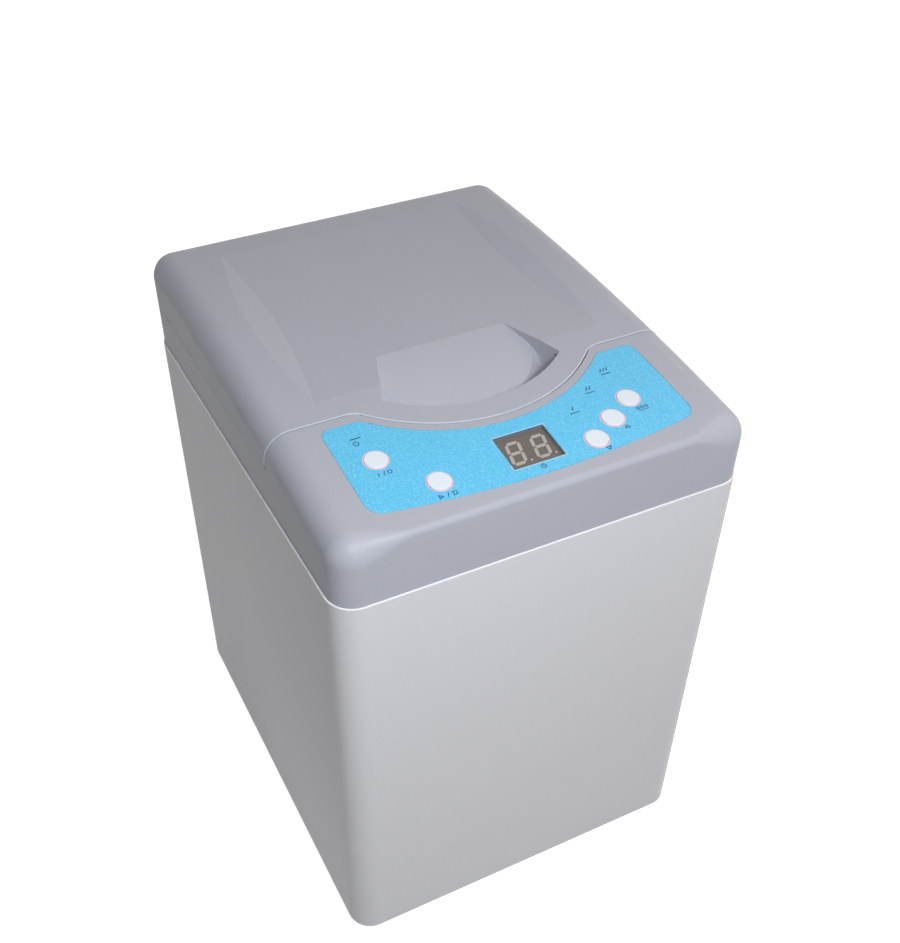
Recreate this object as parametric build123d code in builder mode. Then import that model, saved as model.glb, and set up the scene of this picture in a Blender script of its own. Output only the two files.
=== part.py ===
"""Centrifugal mixer for dental impression material, in millimetres.

A tall rounded casing carries a moulded top housing with a sloping control panel. A hinged lid with a
scooped finger pull covers a round well. In the well a rotor arm swings an inclined bowl round the
vertical shaft of the motor below, and a rubber tyre on the bowl holder rolls along the wall of the
well, so that the bowl also spins about its own axis.

Frame: +Z up, the front with the control panel faces -Y, origin on the floor under the casing's centre.
"""

from build123d import *

import os
from math import atan, cos, degrees, radians, sin, sqrt, tan

os.makedirs("parts", exist_ok=True)

# ---------------------------------------------------------------- driving dimensions
# Casing, base and feet
FOOT_HEIGHT = 8.0
FOOT_RADIUS = 13.0
FOOT_SIDE_INSET = 32.0
FOOT_END_INSET = 37.0
FOOT_ROUND = 1.6
FOOT_STEM_RADIUS = 4.0
FOOT_BEAD_RADIUS = 5.5
FOOT_BEAD_HEIGHT = 3.0
CASING_WIDTH = 240.0
CASING_DEPTH = 290.0
CASING_TOP = 291.0
CASING_CORNER = 15.0
CASING_WALL = 1.5
CASING_LIP_ROUND = 0.7
CASING_FLANGE = 10.0
BASE_THICKNESS = 2.0
BASE_UPSTAND = 12.0
FIT = 0.2
LOUVRE_X = -55.0
LOUVRE_Z = 60.0
LOUVRE_LENGTH = 70.0
LOUVRE_HEIGHT = 3.0
LOUVRE_PITCH = 9.0
LOUVRE_COUNT = 8

# Tie rods that clamp the casing between base and top housing
ROD_INSET = 17.0
ROD_RADIUS = 2.5
ROD_HEAD_RADIUS = 5.0
ROD_HEAD_HEIGHT = 2.5
BOSS_RADIUS = 6.0
BOSS_BOTTOM_Z = 283.0
ROD_GRIP = 18.0

# Moulded top: one crowned block that the lid and the housing share
COVER_INSET = 0.8
COVER_WALL = 3.0
COVER_SPIGOT = 8.0
SCREW_BORE_DEPTH = 2.0
CROWN_REAR_Z = 349.3
CROWN_MIDDLE_Z = 344.4
CROWN_FRONT_Z = 327.3

# Split between lid and housing
SEAM_GAP = 0.8
SEAM_Z = 317.4
SEAM_FRONT_Y = -59.0
SEAM_FRONT_LEAN = 11.0
SEAM_CORNER_ROUND = 7.0
TONGUE_RADIUS = 95.5

# Well, rotor axis and the tub that hangs from the deck
WELL_Y = 6.0
WELL_MOUTH_RADIUS = 86.0
TUB_RADIUS = 88.5
TUB_WALL = 2.5
TUB_FLOOR_Z = 132.0
TUB_CORNER = 6.0
TUB_FLANGE_RADIUS = 100.0
TUB_SCREW_COUNT = 6
TUB_SCREW_CIRCLE = 95.5
TUB_SCREW_START = 30.0
SEAL_WIDTH = 4.0
SEAL_HEIGHT = 0.5
BUMPER_RADIUS = 4.0
BUMPER_REAR_Y = 68.0
BUMPER_FRONT_Y = -8.0

# Sunken middle of the lid and its finger pull
DISH_REAR_INSET = 30.0
DISH_FRONT_Y = -44.0
DISH_REAR_MARGIN = 39.5
DISH_FRONT_MARGIN = 34.0
DISH_SAG = 1.7
DISH_SIDE_SLOPE = 12.5
DISH_SIDE_RUN = 30.0
PULL_REAR_Y = -18.0
PULL_REAR_HALF = 39.0
PULL_FRONT_Y = -56.0
PULL_FRONT_HALF = 53.0
PULL_RADIUS = 82.0
PULL_DEPTH = 14.0
PULL_START = 1.8
PULL_LEAD = 9.0
PULL_LOW_Y = -66.0
SHOULDER_RADIUS = 62.0
SHOULDER_DROP = 1.2
SHOULDER_LEAD = 25.0
MOAT_RADIUS = 72.4
UNDERCUT_DEPTH = 6.0
UNDERCUT_RIM = 5.0

# Inner panel of the lid and its screws
LINER_THICKNESS = 2.0
LID_BOSS_RADIUS = 4.0
SIDE_INSET = 16.0
LID_SCREW_REAR_Y = 100.0
LID_SCREW_MIDDLE_Y = 30.0
LID_SCREW_FRONT_Y = -36.0
SCREW_RADIUS = 1.5
SCREW_HEAD_RADIUS = 3.0
SCREW_HEAD_HEIGHT = 1.5
SCREW_GRIP = 8.0

# Hinges on the rear faces of the lid and the housing
HINGE_X = 70.0
HINGE_KNUCKLE = 10.0
HINGE_BARREL_RADIUS = 3.0
HINGE_PIN_RADIUS = 1.5
HINGE_LEAF_THICKNESS = 1.5
HINGE_LEAF_REACH = 15.0
HINGE_GAP = 0.3
HINGE_SCREW_X = 9.0
HINGE_SCREW_REACH = 10.0
HINGE_SCREW_HEAD_RADIUS = 2.2
HINGE_SCREW_HEAD_HEIGHT = 1.0

# Lid lock
LOCK_Y = -40.0
HOOK_WIDTH = 12.0
HOOK_THICKNESS = 3.0
HOOK_DROP = 20.0
HOOK_FOOT_LENGTH = 20.0
HOOK_FOOT_WIDTH = 14.0
HOOK_FOOT_THICKNESS = 2.0
HOOK_EYE_SIZE = 6.4
HOOK_EYE_LIFT = 6.5
HOOK_SIDE_GAP = 0.8
HOOK_SWING_GAP = 2.4
LOCK_WIDTH = 17.0
LOCK_LENGTH = 24.0
LOCK_HEIGHT = 28.0
PLUNGER_RADIUS = 2.5
PLUNGER_TRAVEL = 5.0
PLUNGER_LENGTH = 7.0
PLUNGER_SETBACK = 1.0
PLUNGER_CHAMFER = 0.6

# Control panel
PANEL_Y = -105.0
PANEL_SIDE_INSET = 27.0
PANEL_REAR_Y = -65.5
PANEL_ARC_RADIUS = 100.5
PANEL_FRONT_Y = -127.5
PANEL_FRONT_BOW = 7.5
PANEL_FRONT_CORNER = 9.0
PANEL_REAR_CORNER = 5.5
OVERLAY_THICKNESS = 0.45
OVERLAY_SEAT = 0.5
BUTTON_RADIUS = 6.0
BUTTON_CLEARANCE = 0.3
BUTTON_PROUD = 0.5
BUTTON_EDGE = 0.3
BUTTON_TRAVEL = 0.8
BUTTON_FLANGE_RADIUS = 7.4
BUTTON_FLANGE_HEIGHT = 1.2
BUTTON_FLANGE_GAP = 0.4
BUTTON_STEM_RADIUS = 2.5
BUTTON_DEPTH = 6.0
BUTTONS = {
    "power_button": (-75.0, -95.0),
    "start_button": (-53.0, -120.0),
    "down_button": (34.0, -124.0),
    "up_button": (50.0, -114.0),
    "memory_button": (66.0, -104.0),
}
LAMPS = ((-78.0, -77.0), (66.0, -82.5), (50.0, -92.5), (34.0, -103.0))
LAMP_LENGTH = 5.8
LAMP_WIDTH = 0.9
LAMP_BODY_WIDTH = 3.0
LAMP_NECK = 4.0
DISPLAY_X = -0.7
DISPLAY_Y = -115.7
DISPLAY_WIDTH = 29.5
DISPLAY_HEIGHT = 23.5
DISPLAY_DEPTH = 2.2
FILTER_THICKNESS = 1.4
FILTER_SETBACK = 0.45
DIGIT_HEIGHT = 16.0
DIGIT_WIDTH = 8.6
DIGIT_PITCH = 14.2
DIGIT_SLANT = 11.0
SEGMENT_WIDTH = 1.8
SEGMENT_GAP = 0.3
SEGMENT_THICKNESS = 0.25
BOARD_DEPTH = 14.0
BOARD_THICKNESS = 1.6
BOARD_WALL_GAP = 6.0
BOARD_SIDE_INSET = 29.0
BOARD_REAR_Y = -72.0
BOARD_FRONT_Y = -132.0
BOARD_POSTS = ((-85.0, -82.0), (85.0, -82.0), (-28.0, -126.0), (20.5, -127.0))
POST_RADIUS = 3.0
SWITCH_SIZE = 6.0
SWITCH_BODY_HEIGHT = 3.5
SWITCH_STEM_RADIUS = 1.7
SWITCH_GAP = 0.1

# Bowl, tilted towards the rotor axis. Heights along its axis are counted from the point where
# the axis crosses the shaft axis.
BOWL_TILT = 45.0
APEX_Z = 240.0
BOWL_MOUTH = -3.0
BOWL_FLOOR = -70.0
BOWL_RADIUS = 40.8
BOWL_TAPER = 3.0
BOWL_WALL = 2.2
BOWL_RIM_RADIUS = 44.0
BOWL_RIM_HEIGHT = 4.0
BOWL_CORNER = 10.0
BOWL_EDGE = 2.0
BOWL_SEAT_GAP = 0.4
BAYONET_COUNT = 3
BAYONET_ANGLE = 26.0
BAYONET_TURN = 40.0
BAYONET_CLEARANCE = 0.4
BAYONET_HEIGHT = 1.6
BAYONET_SLACK = 3.0
CAP_THICKNESS = 2.5
CAP_WALL = 2.2
KNOB_RADIUS = 12.0
KNOB_HEIGHT = 13.0
KNOB_ROUND = 2.5
KNOB_GRIP_RADIUS = 6.0
KNOB_GRIP_DEPTH = 2.0
KNOB_FLUTES = 6
KEY_COUNT = 2
KEY_WIDTH = 5.0
KEY_HEIGHT = 7.0
KEY_DEPTH = 2.4
HOLDER_WALL = 3.0
HOLDER_TOP = -26.0
HOLDER_FLOOR = 8.0
HOLDER_BEVEL = 3.5
TYRE_SEAT = -73.0
TYRE_CORD_RADIUS = 3.0
TYRE_BITE = 0.3
TRACK_GAP = 0.3
TRACK_HEIGHT = 22.0
AXLE_RADIUS = 6.0
NUT_RADIUS = 9.0
NUT_HEIGHT = 5.0
BEARING_RADIUS = 14.0
BEARING_WIDTH = 8.0
BEARING_LIP = 2.0
RUNNING_GAP = 0.1
CARRIER_RADIUS = 17.5
CARRIER_GAP = 1.2
CARRIER_LENGTH = 24.0
NUT_CLEARANCE = 2.0
THREAD_STEP = 1.0

# Rotor arm
ARM_BOTTOM_Z = 138.0
ARM_THICKNESS = 11.0
ARM_WIDTH = 44.0
ARM_REACH = 84.0
HUB_RADIUS = 18.0
HUB_HEIGHT = 15.0
WEIGHT_INNER = 45.0
WEIGHT_OUTER = 80.0
WEIGHT_HEIGHT = 34.0
WEIGHT_HALF_ANGLE = 38.0
WEIGHT_SCREW_RADIUS = 3.0
WEIGHT_SCREW_ANGLE = 22.0
WEIGHT_HEAD_RADIUS = 5.0
WEIGHT_CHAMFER = 2.0
ARM_TUB_GAP = 2.5
PEDESTAL_START = 46.0

# Motor and its frame
SHAFT_RADIUS = 6.0
MOTOR_RADIUS = 52.0
MOTOR_WALL = 3.0
MOTOR_FIN_COUNT = 20
MOTOR_FIN_DEPTH = 4.0
MOTOR_FIN_WIDTH = 3.0
STATOR_TEETH = 12
STATOR_TOOTH_WIDTH = 9.0
STATOR_YOKE = 8.0
STATOR_HEIGHT = 44.0
ROTOR_CORE_RADIUS = 28.0
MOTOR_AIR_GAP = 0.5
MOTOR_CAN_BOTTOM = 46.0
MOTOR_CAN_TOP = 106.0
END_BELL_HEIGHT = 12.0
FAN_BOTTOM_Z = 22.0
FAN_HEIGHT = 9.0
FAN_RADIUS = 42.0
FAN_HUB_RADIUS = 13.0
FAN_BLADES = 9
FAN_BLADE_WIDTH = 2.0
BRIDGE_SIZE = 172.0
BRIDGE_THICKNESS = 4.0
BRIDGE_CORNER = 12.0
PILLAR_SPACING = 150.0
PILLAR_RADIUS = 7.0
ISOLATOR_RADIUS = 10.0
ISOLATOR_HEIGHT = 12.0
SHAFT_SEAL_RADIUS = 12.0
SHAFT_SEAL_HEIGHT = 6.0

# Mains parts
INLET_X = 70.0
INLET_Z = 48.0
INLET_FLANGE_WIDTH = 50.0
INLET_FLANGE_HEIGHT = 37.0
INLET_FLANGE_THICKNESS = 2.5
INLET_BODY_WIDTH = 28.0
INLET_BODY_HEIGHT = 33.0
INLET_BODY_DEPTH = 24.0
SOCKET_WIDTH = 24.4
SOCKET_HEIGHT = 16.4
SOCKET_DEPTH = 17.0
SOCKET_CHAMFER = 5.0
SOCKET_LIFT = 6.0
CONTACT_WIDTH = 2.0
CONTACT_HEIGHT = 4.0
CONTACT_LENGTH = 14.0
CONTACT_PITCH = 7.0
CONTACT_DROP = 1.0
FUSE_WIDTH = 22.0
FUSE_HEIGHT = 7.0
FUSE_DEPTH = 15.0
FUSE_PROUD = 1.0
FUSE_DROP = 11.5
INLET_SCREW_PITCH = 40.0
CAPACITOR_X = -57.0
CAPACITOR_INSET = 25.0
CAPACITOR_RADIUS = 18.0
CAPACITOR_HEIGHT = 72.0
CAPACITOR_ROUND = 2.0
CLAMP_HEIGHT = 14.0
CLAMP_WALL = 1.5
POWER_BOARD_INSET = 13.0
POWER_BOARD_GAP = 5.0
POWER_BOARD_WIDTH = 150.0
POWER_BOARD_LIFT = 8.0
HEATSINK_HEIGHT = 30.0
HEATSINK_X = 48.0
HEATSINK_PITCH = 6.0
HEATSINK_FINS = 5
POWER_BLOCKS = ((-50.0, 40.0, 28.0), (-12.0, 22.0, 16.0), (16.0, 16.0, 12.0))

# ---------------------------------------------------------------- derived places
FRONT_Y = -CASING_DEPTH / 2
REAR_Y = CASING_DEPTH / 2
SIDE_X = CASING_WIDTH / 2 - SIDE_INSET
FOOT_X = CASING_WIDTH / 2 - FOOT_SIDE_INSET
FOOT_Y = REAR_Y - FOOT_END_INSET
ROD_X = CASING_WIDTH / 2 - ROD_INSET
ROD_Y = REAR_Y - ROD_INSET
PANEL_HALF_WIDTH = CASING_WIDTH / 2 - PANEL_SIDE_INSET
BOARD_HALF_WIDTH = CASING_WIDTH / 2 - BOARD_SIDE_INSET
DISH_REAR_Y = REAR_Y - DISH_REAR_INSET
DISH_REAR_HALF = CASING_WIDTH / 2 - DISH_REAR_MARGIN
DISH_FRONT_HALF = CASING_WIDTH / 2 - DISH_FRONT_MARGIN
CAPACITOR_Y = REAR_Y - CAPACITOR_INSET
POWER_BOARD_FRONT_Y = FRONT_Y + POWER_BOARD_INSET
POWER_BOARD_REAR_Y = WELL_Y - PILLAR_SPACING / 2 - ISOLATOR_RADIUS - POWER_BOARD_GAP
POWER_BOARD_Y = (POWER_BOARD_FRONT_Y + POWER_BOARD_REAR_Y) / 2
POWER_BOARD_DEPTH = POWER_BOARD_REAR_Y - POWER_BOARD_FRONT_Y
LID_SCREWS = (
    (SIDE_X, LID_SCREW_REAR_Y),
    (-SIDE_X, LID_SCREW_REAR_Y),
    (SIDE_X, LID_SCREW_MIDDLE_Y),
    (-SIDE_X, LID_SCREW_MIDDLE_Y),
    (-SIDE_X, LID_SCREW_FRONT_Y),
)
BUMPERS = (
    (SIDE_X, BUMPER_REAR_Y),
    (-SIDE_X, BUMPER_REAR_Y),
    (SIDE_X, BUMPER_FRONT_Y),
    (-SIDE_X, BUMPER_FRONT_Y),
)
BASE_Z = FOOT_HEIGHT + CASING_WALL
BASE_TOP_Z = BASE_Z + BASE_THICKNESS
COVER_REAR_Y = REAR_Y - COVER_INSET
DECK_TOP_Z = SEAM_Z - SEAM_GAP
DECK_BOTTOM_Z = DECK_TOP_Z - COVER_WALL
LINER_TOP_Z = SEAM_Z + LINER_THICKNESS
HINGE_Y = COVER_REAR_Y + HINGE_LEAF_THICKNESS
HINGE_Z = SEAM_Z - SEAM_GAP / 2
ABOVE_Z = CROWN_REAR_Z + CASING_CORNER

# The crown is an arc in the YZ plane through three heights
CROWN_SLOPE = (CROWN_REAR_Z - CROWN_FRONT_Z) / CASING_DEPTH
CROWN_SAG = CROWN_MIDDLE_Z - (CROWN_REAR_Z + CROWN_FRONT_Z) / 2


def crown_z(y):
    """Height of the crowned top above the floor at depth y."""
    return CROWN_MIDDLE_Z + CROWN_SLOPE * y - CROWN_SAG * (y / REAR_Y) ** 2


def crown_tilt(y):
    """Slope of the crowned top at depth y, in degrees, rising to the rear."""
    return degrees(atan(CROWN_SLOPE - 2 * CROWN_SAG * y / REAR_Y**2))


PANEL_TILT = radians(crown_tilt(PANEL_Y))
PANEL = Plane(
    origin=(0, PANEL_Y, crown_z(PANEL_Y)),
    x_dir=(1, 0, 0),
    z_dir=(0, -sin(PANEL_TILT), cos(PANEL_TILT)),
)


def panel_spot(place):
    """A plan position on the sloping control panel, in the coordinates of the PANEL plane."""
    return (place[0], (place[1] - PANEL_Y) / cos(PANEL_TILT))


TILT = radians(BOWL_TILT)
APEX = (0, WELL_Y, APEX_Z)
BOWL_PLANE = Plane(origin=APEX, x_dir=(cos(TILT), 0, sin(TILT)), z_dir=(-sin(TILT), 0, cos(TILT)))
BOWL_SECTION = Plane(origin=APEX, x_dir=(cos(TILT), 0, sin(TILT)), z_dir=(0, -1, 0))
BOWL_AXIS = Axis(BOWL_PLANE.origin, BOWL_PLANE.z_dir)
WELL_AXIS = Axis((0, WELL_Y, 0), (0, 0, 1))
WELL_SECTION = Plane(origin=(0, WELL_Y, 0), x_dir=(1, 0, 0), z_dir=(0, -1, 0))

HOLDER_RADIUS = BOWL_RADIUS + BOWL_SEAT_GAP + HOLDER_WALL
HOLDER_BOTTOM = BOWL_FLOOR - BOWL_SEAT_GAP - HOLDER_FLOOR
TYRE_RADIUS = HOLDER_RADIUS + TYRE_BITE
TRACK_RADIUS = -TYRE_SEAT * sin(TILT) + TYRE_RADIUS * cos(TILT) + TYRE_CORD_RADIUS + TRACK_GAP
TRACK_Z = APEX_Z + TYRE_SEAT * cos(TILT) + TYRE_RADIUS * sin(TILT)
CARRIER_TOP = HOLDER_BOTTOM - CARRIER_GAP
CARRIER_BOTTOM = CARRIER_TOP - CARRIER_LENGTH
ARM_TOP_Z = ARM_BOTTOM_Z + ARM_THICKNESS
HUB_TOP_Z = ARM_BOTTOM_Z + HUB_HEIGHT
BRIDGE_Z = MOTOR_CAN_TOP + END_BELL_HEIGHT
LOWER_POCKET_Z = MOTOR_CAN_BOTTOM - BEARING_WIDTH
MOTOR_MIDDLE_Z = (MOTOR_CAN_BOTTOM + MOTOR_CAN_TOP) / 2
END_BELLS = ((MOTOR_CAN_TOP, MOTOR_CAN_TOP), (MOTOR_CAN_BOTTOM - END_BELL_HEIGHT, LOWER_POCKET_Z))
HOOK_TIP_Z = SEAM_Z - HOOK_DROP
LINER_INSET = COVER_INSET + COVER_WALL + FIT
HINGE_HALF_LENGTH = 1.5 * HINGE_KNUCKLE + HINGE_GAP
HINGE_OUTER_X = HINGE_KNUCKLE + HINGE_GAP / 2
LUG_BOTTOM = BOWL_MOUTH - BOWL_RIM_HEIGHT - BAYONET_CLEARANCE - BAYONET_HEIGHT
CAP_TOP = BOWL_MOUTH + BAYONET_CLEARANCE + CAP_THICKNESS
CAP_RADIUS = BOWL_RIM_RADIUS + BAYONET_CLEARANCE + CAP_WALL

# The seven bars of a digit, between corners counted in half widths and half heights
SEGMENTS = (
    ((-1, 1), (1, 1)),
    ((-1, 0), (1, 0)),
    ((-1, -1), (1, -1)),
    ((-1, 0), (-1, 1)),
    ((1, 0), (1, 1)),
    ((-1, -1), (-1, 0)),
    ((1, -1), (1, 0)),
)


def segment_outline(start, end):
    """Pointed bar of a slanted digit between two of its corners."""
    half_width = (DIGIT_WIDTH - SEGMENT_WIDTH) / 2
    half_height = (DIGIT_HEIGHT - SEGMENT_WIDTH) / 2
    ax, ay = start[0] * half_width, start[1] * half_height
    bx, by = end[0] * half_width, end[1] * half_height
    length = sqrt((bx - ax) ** 2 + (by - ay) ** 2)
    along = ((bx - ax) / length, (by - ay) / length)
    tip = SEGMENT_GAP
    shoulder = SEGMENT_GAP + SEGMENT_WIDTH / 2
    outline = []
    for distance, side in (
        (tip, 0),
        (shoulder, -1),
        (length - shoulder, -1),
        (length - tip, 0),
        (length - shoulder, 1),
        (shoulder, 1),
    ):
        x = ax + along[0] * distance - along[1] * side * SEGMENT_WIDTH / 2
        y = ay + along[1] * distance + along[0] * side * SEGMENT_WIDTH / 2
        outline.append((x + y * tan(radians(DIGIT_SLANT)), y))
    return outline


def wedge(reach, half_angle):
    """A triangle from the centre along +X, for cutting sectors."""
    far = reach * tan(radians(half_angle))
    return ((0, 0), (reach, -far), (reach, far))


def weight_wedge():
    """The sector of the counterweight, opposite the bowl carrier."""
    return [(-x, y) for x, y in wedge(WEIGHT_OUTER, WEIGHT_HALF_ANGLE)]


def weight_screw_places():
    """Centres of the two screws that hold the counterweight."""
    radius = (WEIGHT_INNER + WEIGHT_OUTER) / 2
    angle = radians(WEIGHT_SCREW_ANGLE)
    return [(-radius * cos(angle), WELL_Y + side * radius * sin(angle)) for side in (-1, 1)]


def carrier_point(radius, height):
    """A point of the tilted bowl axis section, as (distance from the shaft, z)."""
    return (radius * cos(TILT) - height * sin(TILT), APEX_Z + radius * sin(TILT) + height * cos(TILT))


def bowl_outer(height):
    """Outer radius of the tapered bowl wall at a height along its axis."""
    share = (BOWL_MOUTH - BOWL_RIM_HEIGHT - height) / (BOWL_MOUTH - BOWL_RIM_HEIGHT - BOWL_FLOOR)
    return BOWL_RADIUS - BOWL_TAPER * share


def is_ring(edge, radius, z):
    """Tells whether a circular edge round the well axis has this radius and height."""
    return abs(edge.radius - radius) < FIT and abs(edge.center().Z - z) < FIT


def hinge_screw_places(z):
    """Screw centres of one row of hinge leaves, on the rear faces."""
    return [(x + side * HINGE_SCREW_X, z) for x in (-HINGE_X, HINGE_X) for side in (-1, 1)]


def save(piece, name):
    """Labels a finished piece and writes it."""
    piece.part.label = name
    export_step(piece.part, f"parts/{name}.step")


# ---------------------------------------------------------------- forms that several pieces share
def crowned_block(inset, drop, base_z):
    """The crowned top as a closed block, moved in by inset and lowered by drop."""
    half_depth = CASING_DEPTH / 2 - inset
    with BuildPart() as block:
        with BuildSketch(Plane.YZ):
            with BuildLine():
                ThreePointArc(
                    (-half_depth, crown_z(-half_depth) - drop),
                    (0, crown_z(0) - drop),
                    (half_depth, crown_z(half_depth) - drop),
                )
                Polyline(
                    (half_depth, crown_z(half_depth) - drop),
                    (half_depth, base_z),
                    (-half_depth, base_z),
                    (-half_depth, crown_z(-half_depth) - drop),
                )
            make_face()
        extrude(amount=CASING_WIDTH / 2 - inset, both=True)
        top_edges = block.faces().sort_by(Axis.Z)[-1].edges()
        fillet(top_edges + block.edges().filter_by(Axis.Z), CASING_CORNER - inset)
    return block.part


def crown_slab(top_drop, bottom_drop):
    """The layer between two copies of the crown, lowered by top_drop and by bottom_drop."""
    with BuildPart() as slab:
        with BuildSketch(Plane.YZ):
            with BuildLine():
                ThreePointArc(
                    (FRONT_Y, crown_z(FRONT_Y) - top_drop),
                    (0, crown_z(0) - top_drop),
                    (REAR_Y, crown_z(REAR_Y) - top_drop),
                )
                Line((REAR_Y, crown_z(REAR_Y) - top_drop), (REAR_Y, crown_z(REAR_Y) - bottom_drop))
                ThreePointArc(
                    (REAR_Y, crown_z(REAR_Y) - bottom_drop),
                    (0, crown_z(0) - bottom_drop),
                    (FRONT_Y, crown_z(FRONT_Y) - bottom_drop),
                )
                Line((FRONT_Y, crown_z(FRONT_Y) - bottom_drop), (FRONT_Y, crown_z(FRONT_Y) - top_drop))
            make_face()
        extrude(amount=CASING_WIDTH / 2, both=True)
    return slab.part


def lid_region(grow, bottom_z):
    """Everything that belongs to the lid above bottom_z: a straight front and a round tongue."""
    lean = tan(radians(SEAM_FRONT_LEAN))
    crown_at_seam = crown_z(SEAM_FRONT_Y)
    with BuildPart() as region:
        with BuildSketch(Plane.YZ):
            Polygon(
                (SEAM_FRONT_Y - grow + lean * (crown_at_seam - bottom_z), bottom_z),
                (SEAM_FRONT_Y - grow - lean * (ABOVE_Z - crown_at_seam), ABOVE_Z),
                (CASING_DEPTH, ABOVE_Z),
                (CASING_DEPTH, bottom_z),
                align=None,
            )
        extrude(amount=CASING_WIDTH, both=True)
        with BuildSketch(Plane.XY.offset(bottom_z)):
            with Locations((0, WELL_Y)):
                Circle(TONGUE_RADIUS + grow)
        extrude(amount=ABOVE_Z - bottom_z)
        inner_corners = region.edges().filter_by(
            lambda edge: abs(edge.center().X) > TONGUE_RADIUS / 2
            and abs(edge.center().X) < TONGUE_RADIUS
            and abs(edge.center().Z - (bottom_z + ABOVE_Z) / 2) < SEAM_CORNER_ROUND
            and edge.center().Y < 0
        )
        fillet(inner_corners, SEAM_CORNER_ROUND - grow)
    return region.part


def dish_cutter(drop):
    """The sunken middle of the lid: above a shallow arc, between two sloping sides."""
    fall = DISH_SIDE_RUN * tan(radians(DISH_SIDE_SLOPE))
    middle_y = (DISH_REAR_Y + DISH_FRONT_Y) / 2
    chord_z = (crown_z(DISH_REAR_Y) + crown_z(DISH_FRONT_Y)) / 2
    with BuildPart() as dish:
        for y, half in ((DISH_REAR_Y, DISH_REAR_HALF), (DISH_FRONT_Y, DISH_FRONT_HALF)):
            level = crown_z(y) - drop
            with BuildSketch(Plane(origin=(0, y, level), x_dir=(1, 0, 0), z_dir=(0, -1, 0))):
                Polygon(
                    (-half + DISH_SIDE_RUN, -fall),
                    (half - DISH_SIDE_RUN, -fall),
                    (half + DISH_SIDE_RUN, fall),
                    (-half - DISH_SIDE_RUN, fall),
                    align=None,
                )
        loft(ruled=True)
        with BuildSketch(Plane.YZ):
            with BuildLine():
                ThreePointArc(
                    (DISH_FRONT_Y, crown_z(DISH_FRONT_Y) - drop),
                    (middle_y, chord_z - DISH_SAG - drop),
                    (DISH_REAR_Y, crown_z(DISH_REAR_Y) - drop),
                )
                Polyline(
                    (DISH_REAR_Y, crown_z(DISH_REAR_Y) - drop),
                    (DISH_REAR_Y, ABOVE_Z),
                    (DISH_FRONT_Y, ABOVE_Z),
                    (DISH_FRONT_Y, crown_z(DISH_FRONT_Y) - drop),
                )
            make_face()
        extrude(amount=CASING_WIDTH, both=True, mode=Mode.INTERSECT)
    return dish.part


def pull_cutter(grow):
    """The finger pull: a falling floor, a round shoulder and a moat under an undercut front rim."""
    run = PULL_REAR_Y - PULL_FRONT_Y
    widening = (PULL_FRONT_HALF - PULL_REAR_HALF) / run
    rim_z = crown_z(WELL_Y - PULL_RADIUS)
    start_z = crown_z(PULL_REAR_Y) - PULL_START - grow
    floor_z = rim_z - PULL_DEPTH - grow
    moat_reach = PULL_RADIUS + UNDERCUT_DEPTH + grow
    lead = radians(crown_tilt(PULL_REAR_Y) + PULL_LEAD)
    dive = radians(SHOULDER_LEAD)
    with BuildPart() as pull:
        with BuildSketch(Plane.YZ):
            with BuildLine():
                TangentArc(
                    (PULL_REAR_Y, start_z), (PULL_LOW_Y, floor_z), tangent=(-cos(lead), -sin(lead))
                )
                Polyline(
                    (PULL_LOW_Y, floor_z),
                    (WELL_Y - moat_reach, floor_z),
                    (WELL_Y - moat_reach, ABOVE_Z),
                    (PULL_REAR_Y, ABOVE_Z),
                    (PULL_REAR_Y, start_z),
                )
            make_face()
        extrude(amount=CASING_WIDTH / 2, both=True)
        # the moat, turned about the axis of the well
        with BuildSketch(WELL_SECTION):
            with BuildLine():
                TangentArc(
                    (SHOULDER_RADIUS - grow, rim_z - SHOULDER_DROP - grow),
                    (MOAT_RADIUS - grow, floor_z),
                    tangent=(cos(dive), -sin(dive)),
                )
                Polyline(
                    (MOAT_RADIUS - grow, floor_z),
                    (moat_reach, floor_z),
                    (moat_reach, ABOVE_Z),
                    (SHOULDER_RADIUS - grow, ABOVE_Z),
                    (SHOULDER_RADIUS - grow, rim_z - SHOULDER_DROP - grow),
                )
            make_face()
        revolve(axis=WELL_AXIS)
        with BuildSketch(Plane.XY.offset(SEAM_Z)):
            Polygon(
                (-PULL_REAR_HALF - grow, PULL_REAR_Y),
                (PULL_REAR_HALF + grow, PULL_REAR_Y),
                (PULL_REAR_HALF + grow + 2 * widening * run, PULL_REAR_Y - 2 * run),
                (-PULL_REAR_HALF - grow - 2 * widening * run, PULL_REAR_Y - 2 * run),
                align=None,
            )
            with Locations((0, WELL_Y)):
                Circle(moat_reach, mode=Mode.INTERSECT)
        extrude(amount=ABOVE_Z - SEAM_Z, mode=Mode.INTERSECT)
        with BuildSketch(Plane.XY.offset(rim_z - UNDERCUT_RIM + grow)):
            with Locations((0, WELL_Y)):
                Circle(CASING_DEPTH)
                Circle(PULL_RADIUS - grow, mode=Mode.SUBTRACT)
        extrude(amount=ABOVE_Z - SEAM_Z, mode=Mode.SUBTRACT)
    return pull.part


def hinge_cylinders(radius, half_length):
    """One cylinder on the hinge axis at each hinge."""
    with BuildPart() as cylinders:
        for hinge_x in (-HINGE_X, HINGE_X):
            with BuildSketch(Plane.YZ.offset(hinge_x - half_length)):
                with Locations((HINGE_Y, HINGE_Z)):
                    Circle(radius)
            extrude(amount=2 * half_length)
    return cylinders.part


def hinge_pockets():
    """Round grooves across the seam that give the hinge barrels room."""
    return hinge_cylinders(HINGE_BARREL_RADIUS + HINGE_GAP, HINGE_HALF_LENGTH + HINGE_GAP)


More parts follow.
